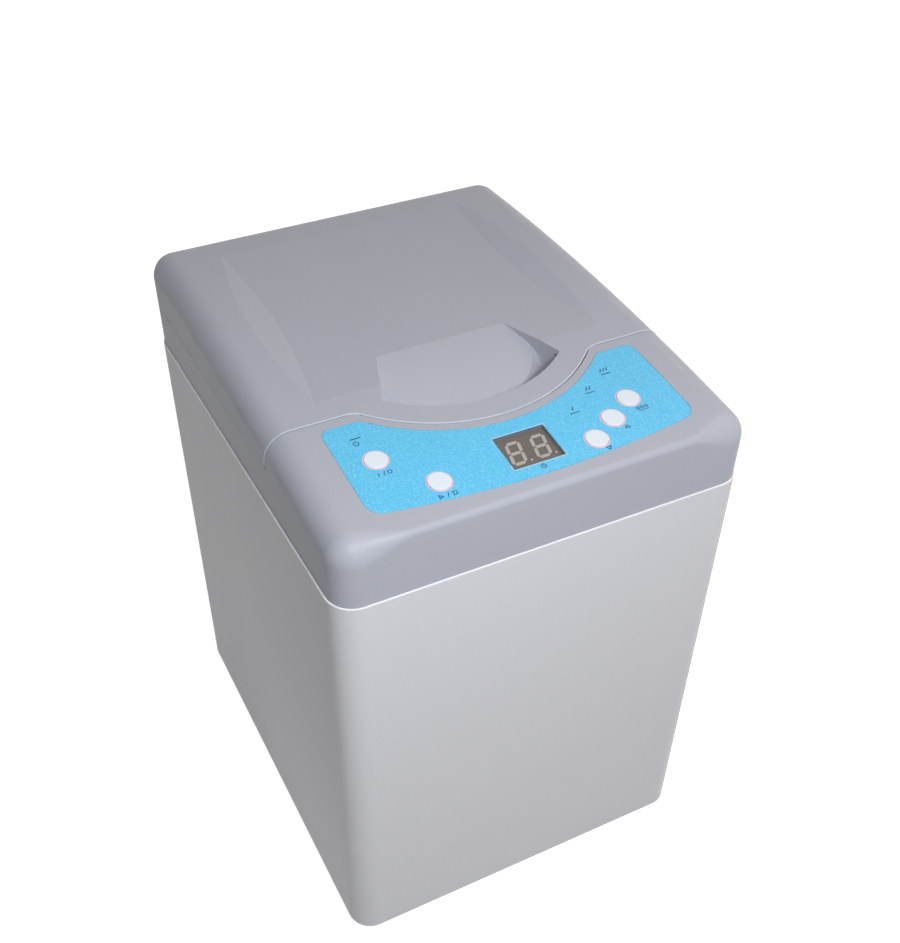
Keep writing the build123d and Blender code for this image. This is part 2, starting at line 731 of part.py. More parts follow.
def overlay_prism(margin):
    """The outline of the control overlay as a tall prism, moved in by margin."""
    half = PANEL_HALF_WIDTH - margin
    with BuildPart() as prism:
        with BuildSketch(Plane.XY.offset(DECK_TOP_Z)) as outline:
            with BuildLine():
                Polyline(
                    (-half, PANEL_FRONT_Y + margin),
                    (-half, PANEL_REAR_Y - margin),
                    (half, PANEL_REAR_Y - margin),
                    (half, PANEL_FRONT_Y + margin),
                )
                ThreePointArc(
                    (half, PANEL_FRONT_Y + margin),
                    (0, PANEL_FRONT_Y - PANEL_FRONT_BOW + margin),
                    (-half, PANEL_FRONT_Y + margin),
                )
            make_face()
            with Locations((0, WELL_Y)):
                Circle(PANEL_ARC_RADIUS + margin, mode=Mode.SUBTRACT)
            fillet(outline.vertices().filter_by(lambda v: v.Y > PANEL_Y), PANEL_REAR_CORNER - margin)
            fillet(outline.vertices().filter_by(is_front_corner), PANEL_FRONT_CORNER - margin)
        extrude(amount=ABOVE_Z - DECK_TOP_Z)
    return prism.part


def is_front_corner(vertex):
    """Tells whether a vertex of the overlay outline is one of its two front corners."""
    return vertex.Y < PANEL_FRONT_Y + PANEL_FRONT_BOW and abs(vertex.X) > PANEL_HALF_WIDTH / 2


def panel_holes():
    """Openings for the buttons, the lamps and the display, in the coordinates of the panel."""
    with BuildSketch() as holes:
        with Locations(*[panel_spot(place) for place in BUTTONS.values()]):
            Circle(BUTTON_RADIUS + BUTTON_CLEARANCE)
        with Locations(*[panel_spot(place) for place in LAMPS]):
            Rectangle(LAMP_LENGTH, LAMP_WIDTH)
        with Locations(panel_spot((DISPLAY_X, DISPLAY_Y))):
            Rectangle(DISPLAY_WIDTH, DISPLAY_HEIGHT)
    return holes.sketch


OUTER_FORM = crowned_block(COVER_INSET, 0, CASING_TOP)
INNER_FORM = crowned_block(COVER_INSET + COVER_WALL, COVER_WALL, CASING_TOP - 2 * COVER_SPIGOT)

# ---------------------------------------------------------------- casing, base and feet
with BuildPart() as casing:
    with BuildSketch(Plane.XY.offset(FOOT_HEIGHT)):
        RectangleRounded(CASING_WIDTH, CASING_DEPTH, CASING_CORNER)
    extrude(amount=CASING_TOP - FOOT_HEIGHT)
    fillet(casing.faces().sort_by(Axis.Z)[-1].edges(), CASING_LIP_ROUND)
    with BuildSketch(Plane.XY.offset(FOOT_HEIGHT + CASING_WALL)):
        RectangleRounded(
            CASING_WIDTH - 2 * CASING_WALL, CASING_DEPTH - 2 * CASING_WALL, CASING_CORNER - CASING_WALL
        )
    extrude(amount=CASING_TOP - FOOT_HEIGHT, mode=Mode.SUBTRACT)
    with BuildSketch(Plane.XY.offset(FOOT_HEIGHT)):
        RectangleRounded(
            CASING_WIDTH - 2 * CASING_FLANGE,
            CASING_DEPTH - 2 * CASING_FLANGE,
            CASING_CORNER - CASING_FLANGE,
        )
    extrude(amount=CASING_WALL, mode=Mode.SUBTRACT)
    with BuildSketch(Plane.XZ.offset(-REAR_Y)):
        with Locations((LOUVRE_X, LOUVRE_Z + LOUVRE_PITCH * (LOUVRE_COUNT - 1) / 2)):
            with GridLocations(0, LOUVRE_PITCH, 1, LOUVRE_COUNT):
                SlotOverall(LOUVRE_LENGTH, LOUVRE_HEIGHT)
        with Locations((INLET_X, INLET_Z)):
            Rectangle(INLET_BODY_WIDTH + 2 * FIT, INLET_BODY_HEIGHT + 2 * FIT)
    extrude(amount=CASING_WALL, mode=Mode.SUBTRACT)
save(casing, "body_casing")

with BuildPart() as base_pan:
    base_width = CASING_WIDTH - 2 * (CASING_WALL + FIT)
    base_depth = CASING_DEPTH - 2 * (CASING_WALL + FIT)
    base_corner = CASING_CORNER - CASING_WALL - FIT
    with BuildSketch(Plane.XY.offset(BASE_Z)):
        RectangleRounded(base_width, base_depth, base_corner)
    extrude(amount=BASE_UPSTAND)
    with BuildSketch(Plane.XY.offset(BASE_TOP_Z)):
        RectangleRounded(
            base_width - 2 * CASING_WALL, base_depth - 2 * CASING_WALL, base_corner - CASING_WALL
        )
    extrude(amount=BASE_UPSTAND, mode=Mode.SUBTRACT)
    with BuildSketch(Plane.XY.offset(BASE_Z)):
        with GridLocations(2 * FOOT_X, 2 * FOOT_Y, 2, 2):
            Circle(FOOT_STEM_RADIUS)
        with GridLocations(2 * ROD_X, 2 * ROD_Y, 2, 2):
            Circle(ROD_RADIUS + FIT)
        with Locations((0, WELL_Y)):
            with GridLocations(0, LOUVRE_PITCH, 1, LOUVRE_COUNT):
                SlotOverall(LOUVRE_LENGTH, 2 * LOUVRE_HEIGHT)
    extrude(amount=BASE_THICKNESS, mode=Mode.SUBTRACT)
save(base_pan, "base_pan")

with BuildPart() as feet:
    with BuildSketch(Plane.XY):
        with GridLocations(2 * FOOT_X, 2 * FOOT_Y, 2, 2):
            Circle(FOOT_RADIUS)
    extrude(amount=BASE_Z)
    fillet(feet.edges().group_by(Axis.Z)[0], FOOT_ROUND)
    with BuildSketch(Plane.XY.offset(BASE_Z)):
        with GridLocations(2 * FOOT_X, 2 * FOOT_Y, 2, 2):
            Circle(FOOT_STEM_RADIUS)
    extrude(amount=BASE_THICKNESS)
    with BuildSketch(Plane.XY.offset(BASE_TOP_Z)):
        with GridLocations(2 * FOOT_X, 2 * FOOT_Y, 2, 2):
            Circle(FOOT_BEAD_RADIUS)
    extrude(amount=FOOT_BEAD_HEIGHT)
save(feet, "rubber_feet")

with BuildPart() as tie_rods:
    with BuildSketch(Plane.XY.offset(BASE_Z - ROD_HEAD_HEIGHT)):
        with GridLocations(2 * ROD_X, 2 * ROD_Y, 2, 2):
            Circle(ROD_HEAD_RADIUS)
    extrude(amount=ROD_HEAD_HEIGHT)
    with BuildSketch(Plane.XY.offset(BASE_Z)):
        with GridLocations(2 * ROD_X, 2 * ROD_Y, 2, 2):
            Circle(ROD_RADIUS)
    extrude(amount=BOSS_BOTTOM_Z + ROD_GRIP - BASE_Z)
save(tie_rods, "tie_rods")

# ---------------------------------------------------------------- top housing
HOUSING_HOLLOW = INNER_FORM - lid_region(SEAM_GAP + COVER_WALL, DECK_BOTTOM_Z)
LID_HOLLOW = (
    (INNER_FORM & lid_region(-COVER_WALL, SEAM_Z - COVER_WALL))
    - dish_cutter(COVER_WALL)
    - pull_cutter(COVER_WALL)
)

with BuildPart() as top_housing:
    add(OUTER_FORM)
    with BuildSketch(Plane.XY.offset(CASING_TOP - COVER_SPIGOT)):
        RectangleRounded(
            CASING_WIDTH - 2 * (CASING_WALL + FIT),
            CASING_DEPTH - 2 * (CASING_WALL + FIT),
            CASING_CORNER - CASING_WALL - FIT,
        )
    extrude(amount=COVER_SPIGOT)
    add(lid_region(SEAM_GAP, DECK_TOP_Z), mode=Mode.SUBTRACT)
    add(HOUSING_HOLLOW, mode=Mode.SUBTRACT)
    with BuildSketch(Plane.XY.offset(BOSS_BOTTOM_Z)):
        with GridLocations(2 * ROD_X, 2 * ROD_Y, 2, 2):
            Circle(BOSS_RADIUS)
    bosses = extrude(amount=ABOVE_Z - BOSS_BOTTOM_Z, mode=Mode.PRIVATE)
    add(bosses & HOUSING_HOLLOW)
    with BuildSketch(PANEL.offset(-BOARD_DEPTH)):
        with Locations(*[panel_spot(place) for place in BOARD_POSTS]):
            Circle(POST_RADIUS)
    posts = extrude(amount=BOARD_DEPTH, mode=Mode.PRIVATE)
    add(posts & HOUSING_HOLLOW)
    # openings for the tie rods, the well, the lid hook and the screws of the tub
    with BuildSketch(Plane.XY.offset(BOSS_BOTTOM_Z)):
        with GridLocations(2 * ROD_X, 2 * ROD_Y, 2, 2):
            Circle(ROD_RADIUS + FIT)
    extrude(amount=ROD_GRIP + FIT, mode=Mode.SUBTRACT)
    with BuildSketch(Plane.XY.offset(DECK_BOTTOM_Z)):
        with Locations((0, WELL_Y)):
            Circle(WELL_MOUTH_RADIUS)
        with Locations((SIDE_X, LOCK_Y)):
            Rectangle(HOOK_THICKNESS + 2 * HOOK_SIDE_GAP, HOOK_WIDTH + 2 * HOOK_SWING_GAP)
    extrude(amount=COVER_WALL, mode=Mode.SUBTRACT)
    with BuildSketch(Plane.XY.offset(DECK_BOTTOM_Z)):
        with Locations((0, WELL_Y)):
            with PolarLocations(TUB_SCREW_CIRCLE, TUB_SCREW_COUNT, TUB_SCREW_START):
                Circle(SCREW_RADIUS)
    extrude(amount=SCREW_BORE_DEPTH, mode=Mode.SUBTRACT)
    # seat of the control overlay and what shows through it
    add(overlay_prism(0) & crown_slab(-OVERLAY_SEAT, OVERLAY_SEAT), mode=Mode.SUBTRACT)
    with BuildSketch(PANEL.offset(BUTTON_PROUD)):
        add(panel_holes())
    extrude(amount=-BUTTON_PROUD - 2 * COVER_WALL, mode=Mode.SUBTRACT)
    with BuildSketch(PANEL.offset(-BOARD_DEPTH)):
        with Locations(*[panel_spot(place) for place in BOARD_POSTS]):
            Circle(SCREW_RADIUS)
    extrude(amount=SCREW_GRIP, mode=Mode.SUBTRACT)
    add(hinge_pockets(), mode=Mode.SUBTRACT)
save(top_housing, "top_housing")

with BuildPart() as well_seal:
    with BuildSketch(Plane.XY.offset(DECK_TOP_Z)):
        with Locations((0, WELL_Y)):
            Circle(WELL_MOUTH_RADIUS + SEAL_WIDTH)
            Circle(WELL_MOUTH_RADIUS, mode=Mode.SUBTRACT)
        with Locations(*BUMPERS):
            Circle(BUMPER_RADIUS)
    extrude(amount=SEAL_HEIGHT)
save(well_seal, "well_seal_and_pads")

# ---------------------------------------------------------------- control panel
with BuildPart() as control_overlay:
    add(overlay_prism(FIT) & crown_slab(OVERLAY_SEAT - OVERLAY_THICKNESS, OVERLAY_SEAT))
    with BuildSketch(PANEL.offset(BUTTON_PROUD)):
        add(panel_holes())
    extrude(amount=-BUTTON_PROUD - COVER_WALL, mode=Mode.SUBTRACT)
save(control_overlay, "control_overlay")

with BuildPart() as display_filter:
    with BuildSketch(PANEL.offset(-FILTER_SETBACK - FILTER_THICKNESS)):
        with Locations(panel_spot((DISPLAY_X, DISPLAY_Y))):
            Rectangle(DISPLAY_WIDTH - FIT, DISPLAY_HEIGHT - FIT)
    extrude(amount=FILTER_THICKNESS)
save(display_filter, "display_filter")

with BuildPart() as display_module:
    with BuildSketch(PANEL.offset(-BOARD_DEPTH)):
        with Locations(panel_spot((DISPLAY_X, DISPLAY_Y))):
            Rectangle(DISPLAY_WIDTH - 2 * FIT, DISPLAY_HEIGHT - 2 * FIT)
    extrude(amount=BOARD_DEPTH - DISPLAY_DEPTH)
save(display_module, "display_module")

with BuildPart() as display_digits:
    with BuildSketch(PANEL.offset(-DISPLAY_DEPTH)):
        for side in (-0.5, 0.5):
            centre = panel_spot((DISPLAY_X, DISPLAY_Y))
            with Locations((centre[0] + side * DIGIT_PITCH, centre[1])):
                for start, end in SEGMENTS:
                    Polygon(*segment_outline(start, end), align=None)
    extrude(amount=SEGMENT_THICKNESS)
save(display_digits, "display_digits")

with BuildPart() as control_board:
    with BuildSketch(PANEL.offset(-BOARD_DEPTH - BOARD_THICKNESS)):
        with Locations(panel_spot((0, (BOARD_REAR_Y + BOARD_FRONT_Y) / 2))):
            Rectangle(2 * BOARD_HALF_WIDTH, BOARD_REAR_Y - BOARD_FRONT_Y)
        with Locations(panel_spot((0, WELL_Y))):
            Circle(TONGUE_RADIUS + SEAM_GAP + COVER_WALL + BOARD_WALL_GAP, mode=Mode.SUBTRACT)
        with Locations(*[panel_spot(place) for place in BOARD_POSTS]):
            Circle(SCREW_RADIUS + FIT, mode=Mode.SUBTRACT)
    extrude(amount=BOARD_THICKNESS)
save(control_board, "control_board")

with BuildPart() as board_screws:
    with BuildSketch(PANEL.offset(-BOARD_DEPTH - BOARD_THICKNESS - SCREW_HEAD_HEIGHT)):
        with Locations(*[panel_spot(place) for place in BOARD_POSTS]):
            Circle(SCREW_HEAD_RADIUS)
    extrude(amount=SCREW_HEAD_HEIGHT)
    with BuildSketch(PANEL.offset(-BOARD_DEPTH - BOARD_THICKNESS)):
        with Locations(*[panel_spot(place) for place in BOARD_POSTS]):
            Circle(SCREW_RADIUS)
    extrude(amount=BOARD_THICKNESS + SCREW_GRIP - 2 * FIT)
save(board_screws, "board_screws")

with BuildPart() as tact_switches:
    with BuildSketch(PANEL.offset(-BOARD_DEPTH)):
        with Locations(*[panel_spot(place) for place in BUTTONS.values()]):
            Rectangle(SWITCH_SIZE, SWITCH_SIZE)
    extrude(amount=SWITCH_BODY_HEIGHT)
    with BuildSketch(PANEL.offset(SWITCH_BODY_HEIGHT - BOARD_DEPTH)):
        with Locations(*[panel_spot(place) for place in BUTTONS.values()]):
            Circle(SWITCH_STEM_RADIUS)
    extrude(amount=BOARD_DEPTH - SWITCH_BODY_HEIGHT - BUTTON_DEPTH - BUTTON_TRAVEL - SWITCH_GAP)
save(tact_switches, "tact_switches")

with BuildPart() as indicator_lamps:
    with BuildSketch(PANEL.offset(-BOARD_DEPTH)):
        with Locations(*[panel_spot(place) for place in LAMPS]):
            Rectangle(LAMP_LENGTH, LAMP_BODY_WIDTH)
    extrude(amount=BOARD_DEPTH - LAMP_NECK)
    with BuildSketch(PANEL.offset(-LAMP_NECK)):
        with Locations(*[panel_spot(place) for place in LAMPS]):
            Rectangle(LAMP_LENGTH - FIT, LAMP_WIDTH - FIT)
    extrude(amount=LAMP_NECK - OVERLAY_THICKNESS)
save(indicator_lamps, "indicator_lamps")

for button_name, place in BUTTONS.items():
    with BuildPart() as button:
        with BuildSketch(PANEL.offset(-BUTTON_DEPTH)):
            with Locations(panel_spot(place)):
                Circle(BUTTON_STEM_RADIUS)
        extrude(amount=BUTTON_DEPTH)
        with BuildSketch(PANEL.offset(-COVER_WALL - BUTTON_FLANGE_GAP - BUTTON_FLANGE_HEIGHT)):
            with Locations(panel_spot(place)):
                Circle(BUTTON_FLANGE_RADIUS)
        extrude(amount=BUTTON_FLANGE_HEIGHT)
        with BuildSketch(PANEL.offset(-COVER_WALL - BUTTON_FLANGE_GAP)):
            with Locations(panel_spot(place)):
                Circle(BUTTON_RADIUS)
        extrude(amount=COVER_WALL + BUTTON_FLANGE_GAP + BUTTON_PROUD)
        fillet(button.faces().sort_by(Axis.Z)[-1].edges(), BUTTON_EDGE)
    save(button, button_name)

# ---------------------------------------------------------------- tub in the well
with BuildPart() as mixing_tub:
    with BuildSketch(WELL_SECTION):
        Polygon(
            (SHAFT_SEAL_RADIUS, TUB_FLOOR_Z - TUB_WALL),
            (TUB_RADIUS + TUB_WALL, TUB_FLOOR_Z - TUB_WALL),
            (TUB_RADIUS + TUB_WALL, DECK_BOTTOM_Z - TUB_WALL),
            (TUB_FLANGE_RADIUS, DECK_BOTTOM_Z - TUB_WALL),
            (TUB_FLANGE_RADIUS, DECK_BOTTOM_Z),
            (TUB_RADIUS, DECK_BOTTOM_Z),
            (TUB_RADIUS, TUB_FLOOR_Z),
            (SHAFT_SEAL_RADIUS, TUB_FLOOR_Z),
            align=None,
        )
    revolve(axis=WELL_AXIS)
    corner_edges = mixing_tub.edges().filter_by(GeomType.CIRCLE)
    fillet(corner_edges.filter_by(lambda e: is_ring(e, TUB_RADIUS, TUB_FLOOR_Z)), TUB_CORNER)
    outer_corner = corner_edges.filter_by(
        lambda e: is_ring(e, TUB_RADIUS + TUB_WALL, TUB_FLOOR_Z - TUB_WALL)
    )
    fillet(outer_corner, TUB_CORNER + TUB_WALL)
    with BuildSketch(Plane.XY.offset(DECK_BOTTOM_Z - TUB_WALL)):
        with Locations((0, WELL_Y)):
            with PolarLocations(TUB_SCREW_CIRCLE, TUB_SCREW_COUNT, TUB_SCREW_START):
                Circle(SCREW_RADIUS + FIT)
    extrude(amount=TUB_WALL, mode=Mode.SUBTRACT)
save(mixing_tub, "mixing_tub")

with BuildPart() as tub_screws:
    with BuildSketch(Plane.XY.offset(DECK_BOTTOM_Z - TUB_WALL - SCREW_HEAD_HEIGHT)):
        with Locations((0, WELL_Y)):
            with PolarLocations(TUB_SCREW_CIRCLE, TUB_SCREW_COUNT, TUB_SCREW_START):
                Circle(SCREW_HEAD_RADIUS)
    extrude(amount=SCREW_HEAD_HEIGHT)
    with BuildSketch(Plane.XY.offset(DECK_BOTTOM_Z - TUB_WALL)):
        with Locations((0, WELL_Y)):
            with PolarLocations(TUB_SCREW_CIRCLE, TUB_SCREW_COUNT, TUB_SCREW_START):
                Circle(SCREW_RADIUS)
    extrude(amount=TUB_WALL + COVER_WALL / 2)
save(tub_screws, "tub_screws")

with BuildPart() as friction_track:
    with BuildSketch(Plane.XY.offset(TRACK_Z - TRACK_HEIGHT / 2)):
        with Locations((0, WELL_Y)):
            Circle(TUB_RADIUS)
            Circle(TRACK_RADIUS, mode=Mode.SUBTRACT)
    extrude(amount=TRACK_HEIGHT)
save(friction_track, "friction_track")

with BuildPart() as shaft_seal:
    with BuildSketch(Plane.XY.offset(TUB_FLOOR_Z - TUB_WALL)):
        with Locations((0, WELL_Y)):
            Circle(SHAFT_SEAL_RADIUS)
            Circle(SHAFT_RADIUS + FIT, mode=Mode.SUBTRACT)
    extrude(amount=SHAFT_SEAL_HEIGHT)
save(shaft_seal, "shaft_seal")

# ---------------------------------------------------------------- motor frame
with BuildPart() as isolators:
    with BuildSketch(Plane.XY.offset(BASE_TOP_Z)):
        with Locations((0, WELL_Y)):
            with GridLocations(PILLAR_SPACING, PILLAR_SPACING, 2, 2):
                Circle(ISOLATOR_RADIUS)
    extrude(amount=ISOLATOR_HEIGHT)
save(isolators, "rubber_isolators")

with BuildPart() as motor_pillars:
    with BuildSketch(Plane.XY.offset(BASE_TOP_Z + ISOLATOR_HEIGHT)):
        with Locations((0, WELL_Y)):
            with GridLocations(PILLAR_SPACING, PILLAR_SPACING, 2, 2):
                Circle(PILLAR_RADIUS)
    extrude(amount=BRIDGE_Z - BASE_TOP_Z - ISOLATOR_HEIGHT)
save(motor_pillars, "motor_pillars")

with BuildPart() as motor_bridge:
    with BuildSketch(Plane.XY.offset(BRIDGE_Z)):
        with Locations((0, WELL_Y)):
            RectangleRounded(BRIDGE_SIZE, BRIDGE_SIZE, BRIDGE_CORNER)
            Circle(BEARING_RADIUS, mode=Mode.SUBTRACT)
    extrude(amount=BRIDGE_THICKNESS)
save(motor_bridge, "motor_bridge")

with BuildPart() as motor_housing:
    with BuildSketch(Plane.XY.offset(MOTOR_CAN_BOTTOM)):
        with Locations((0, WELL_Y)):
            Circle(MOTOR_RADIUS)
            with PolarLocations(MOTOR_RADIUS, MOTOR_FIN_COUNT):
                Rectangle(2 * MOTOR_FIN_DEPTH, MOTOR_FIN_WIDTH)
            Circle(MOTOR_RADIUS - MOTOR_WALL, mode=Mode.SUBTRACT)
    extrude(amount=MOTOR_CAN_TOP - MOTOR_CAN_BOTTOM)
save(motor_housing, "motor_housing")

with BuildPart() as end_bells:
    for bottom, pocket in END_BELLS:
        with BuildSketch(Plane.XY.offset(bottom)):
            with Locations((0, WELL_Y)):
                Circle(MOTOR_RADIUS)
        extrude(amount=END_BELL_HEIGHT)
        with BuildSketch(Plane.XY.offset(bottom)):
            with Locations((0, WELL_Y)):
                Circle(SHAFT_RADIUS + BEARING_LIP)
        extrude(amount=END_BELL_HEIGHT, mode=Mode.SUBTRACT)
        with BuildSketch(Plane.XY.offset(pocket)):
            with Locations((0, WELL_Y)):
                Circle(BEARING_RADIUS)
        extrude(amount=BEARING_WIDTH, mode=Mode.SUBTRACT)
save(end_bells, "motor_end_bells")

with BuildPart() as motor_bearings:
    for bottom in (MOTOR_CAN_TOP, LOWER_POCKET_Z):
        with BuildSketch(Plane.XY.offset(bottom)):
            with Locations((0, WELL_Y)):
                Circle(BEARING_RADIUS)
                Circle(SHAFT_RADIUS + RUNNING_GAP, mode=Mode.SUBTRACT)
        extrude(amount=BEARING_WIDTH)
save(motor_bearings, "motor_bearings")

with BuildPart() as stator:
    with BuildSketch(Plane.XY.offset(MOTOR_MIDDLE_Z - STATOR_HEIGHT / 2)):
        with Locations((0, WELL_Y)):
            Circle(MOTOR_RADIUS - MOTOR_WALL)
            Circle(MOTOR_RADIUS - MOTOR_WALL - STATOR_YOKE, mode=Mode.SUBTRACT)
            with PolarLocations((MOTOR_RADIUS + ROTOR_CORE_RADIUS) / 2 - MOTOR_WALL, STATOR_TEETH):
                Rectangle(MOTOR_RADIUS - ROTOR_CORE_RADIUS - MOTOR_WALL, STATOR_TOOTH_WIDTH)
            Circle(ROTOR_CORE_RADIUS + MOTOR_AIR_GAP, mode=Mode.SUBTRACT)
    extrude(amount=STATOR_HEIGHT)
save(stator, "motor_stator")

# ---------------------------------------------------------------- what turns on the motor shaft
with BuildPart() as drive_shaft:
    with BuildSketch(Plane.XY.offset(FAN_BOTTOM_Z)):
        with Locations((0, WELL_Y)):
            Circle(SHAFT_RADIUS)
    extrude(amount=HUB_TOP_Z - FAN_BOTTOM_Z)
    with BuildSketch(Plane.XY.offset(HUB_TOP_Z)):
        with Locations((0, WELL_Y)):
            Circle(SHAFT_RADIUS - THREAD_STEP)
    extrude(amount=NUT_HEIGHT + THREAD_STEP)
save(drive_shaft, "drive_shaft")

with BuildPart() as motor_core:
    with BuildSketch(Plane.XY.offset(MOTOR_MIDDLE_Z - STATOR_HEIGHT / 2)):
        with Locations((0, WELL_Y)):
            Circle(ROTOR_CORE_RADIUS)
            Circle(SHAFT_RADIUS, mode=Mode.SUBTRACT)
    extrude(amount=STATOR_HEIGHT)
save(motor_core, "motor_core")

with BuildPart() as cooling_fan:
    with BuildSketch(Plane.XY.offset(FAN_BOTTOM_Z)):
        with Locations((0, WELL_Y)):
            Circle(FAN_HUB_RADIUS)
            with PolarLocations((FAN_RADIUS + FAN_HUB_RADIUS) / 2, FAN_BLADES):
                Rectangle(FAN_RADIUS - FAN_HUB_RADIUS + FAN_BLADE_WIDTH, FAN_BLADE_WIDTH)
            Circle(SHAFT_RADIUS, mode=Mode.SUBTRACT)
    extrude(amount=FAN_HEIGHT)
save(cooling_fan, "cooling_fan")

with BuildPart() as rotor_arm:
    # flat arm: a bar under the bowl carrier and a sector under the counterweight
    with BuildSketch(Plane.XY.offset(ARM_BOTTOM_Z)):
        with Locations((ARM_REACH / 2, WELL_Y)):
            Rectangle(ARM_REACH, ARM_WIDTH)
        with Locations((0, WELL_Y)):
            Circle(ARM_WIDTH / 2)
            Polygon(*weight_wedge(), align=None)
            Circle(ARM_REACH, mode=Mode.INTERSECT)
    extrude(amount=ARM_THICKNESS)
    with BuildSketch(Plane.XY.offset(ARM_BOTTOM_Z)):
        with Locations((0, WELL_Y)):
            Circle(HUB_RADIUS)
    extrude(amount=HUB_HEIGHT)
    # pedestal and tilted carrier for the bowl's bearings
    with BuildSketch(WELL_SECTION):
        Polygon(
            (PEDESTAL_START, ARM_TOP_Z),
            (ARM_REACH, ARM_TOP_Z),
            (ARM_REACH, carrier_point(CARRIER_RADIUS, CARRIER_TOP)[1]),
            carrier_point(CARRIER_RADIUS, CARRIER_TOP),
            carrier_point(0, CARRIER_TOP),
            align=None,
        )
    extrude(amount=CARRIER_RADIUS, both=True)
    with BuildSketch(BOWL_PLANE.offset(CARRIER_BOTTOM)):
        Circle(CARRIER_RADIUS)
    extrude(amount=CARRIER_LENGTH)
    with BuildSketch(BOWL_PLANE.offset(CARRIER_TOP)):
        Circle(HOLDER_RADIUS + CARRIER_RADIUS)
    extrude(amount=HOLDER_RADIUS, mode=Mode.SUBTRACT)
    with BuildSketch(BOWL_PLANE.offset(CARRIER_BOTTOM)):
        Circle(NUT_RADIUS + NUT_CLEARANCE)
    extrude(amount=-NUT_HEIGHT - 2 * NUT_CLEARANCE, mode=Mode.SUBTRACT)
    with BuildSketch(BOWL_PLANE.offset(CARRIER_BOTTOM)):
        Circle(AXLE_RADIUS + BEARING_LIP)
    extrude(amount=CARRIER_LENGTH, mode=Mode.SUBTRACT)
    for pocket in (CARRIER_BOTTOM, CARRIER_TOP - BEARING_WIDTH):
        with BuildSketch(BOWL_PLANE.offset(pocket)):
            Circle(BEARING_RADIUS)
        extrude(amount=BEARING_WIDTH, mode=Mode.SUBTRACT)
    # everything stays inside the circle that clears the tub
    with BuildSketch(Plane.XY.offset(ARM_BOTTOM_Z)):
        with Locations((0, WELL_Y)):
            Circle(TUB_RADIUS - ARM_TUB_GAP)
            Circle(SHAFT_RADIUS, mode=Mode.SUBTRACT)
    extrude(amount=APEX_Z - ARM_BOTTOM_Z, mode=Mode.INTERSECT)
save(rotor_arm, "rotor_arm")

with BuildPart() as counterweight:
    with BuildSketch(Plane.XY.offset(ARM_TOP_Z)):
        with Locations((0, WELL_Y)):
            Circle(WEIGHT_OUTER)
            Circle(WEIGHT_INNER, mode=Mode.SUBTRACT)
            Polygon(*weight_wedge(), align=None, mode=Mode.INTERSECT)
    extrude(amount=WEIGHT_HEIGHT)
    chamfer(counterweight.faces().sort_by(Axis.Z)[-1].edges(), WEIGHT_CHAMFER)
    with BuildSketch(Plane.XY.offset(ARM_TOP_Z)):
        with Locations(*weight_screw_places()):
            Circle(WEIGHT_SCREW_RADIUS)
    extrude(amount=WEIGHT_HEIGHT, mode=Mode.SUBTRACT)
save(counterweight, "counterweight")

with BuildPart() as weight_screws:
    with BuildSketch(Plane.XY.offset(ARM_TOP_Z)):
        with Locations(*weight_screw_places()):
            Circle(WEIGHT_SCREW_RADIUS)
    extrude(amount=WEIGHT_HEIGHT)
    with BuildSketch(Plane.XY.offset(ARM_TOP_Z + WEIGHT_HEIGHT)):
        with Locations(*weight_screw_places()):
            Circle(WEIGHT_HEAD_RADIUS)
    extrude(amount=WEIGHT_SCREW_RADIUS)
save(weight_screws, "weight_screws")

with BuildPart() as spindle_nut:
    with BuildSketch(Plane.XY.offset(HUB_TOP_Z)):
        with Locations((0, WELL_Y)):
            RegularPolygon(NUT_RADIUS, 6)
            Circle(SHAFT_RADIUS - THREAD_STEP, mode=Mode.SUBTRACT)
    extrude(amount=NUT_HEIGHT)
save(spindle_nut, "spindle_nut")

with BuildPart() as carrier_bearings:
    for pocket in (CARRIER_BOTTOM, CARRIER_TOP - BEARING_WIDTH):
        with BuildSketch(BOWL_PLANE.offset(pocket)):
            Circle(BEARING_RADIUS)
            Circle(AXLE_RADIUS + RUNNING_GAP, mode=Mode.SUBTRACT)
        extrude(amount=BEARING_WIDTH)
save(carrier_bearings, "carrier_bearings")

# ---------------------------------------------------------------- bowl holder
with BuildPart() as bowl_holder:
    with BuildSketch(BOWL_SECTION):
        Polygon(
            (AXLE_RADIUS, HOLDER_BOTTOM),
            (HOLDER_RADIUS - HOLDER_BEVEL, HOLDER_BOTTOM),
            (HOLDER_RADIUS, HOLDER_BOTTOM + HOLDER_BEVEL),
            (HOLDER_RADIUS, HOLDER_TOP),
            (bowl_outer(HOLDER_TOP) + BOWL_SEAT_GAP, HOLDER_TOP),
            (bowl_outer(BOWL_FLOOR) + BOWL_SEAT_GAP, BOWL_FLOOR - BOWL_SEAT_GAP),
            (AXLE_RADIUS, BOWL_FLOOR - BOWL_SEAT_GAP),
            align=None,
        )
        with Locations((TYRE_RADIUS, TYRE_SEAT)):
            Circle(TYRE_CORD_RADIUS, mode=Mode.SUBTRACT)
    revolve(axis=BOWL_AXIS)
    with BuildSketch(BOWL_PLANE.offset(HOLDER_TOP)):
        with PolarLocations(HOLDER_RADIUS - HOLDER_WALL, KEY_COUNT):
            Rectangle(2 * KEY_DEPTH + 2 * BOWL_SEAT_GAP, KEY_WIDTH + 2 * BOWL_SEAT_GAP)
    extrude(amount=-KEY_HEIGHT - BOWL_SEAT_GAP, mode=Mode.SUBTRACT)
save(bowl_holder, "bowl_holder")

with BuildPart() as friction_tyre:
    with BuildSketch(BOWL_SECTION):
        with Locations((TYRE_RADIUS, TYRE_SEAT)):
            Circle(TYRE_CORD_RADIUS)
    revolve(axis=BOWL_AXIS)
save(friction_tyre, "friction_tyre")

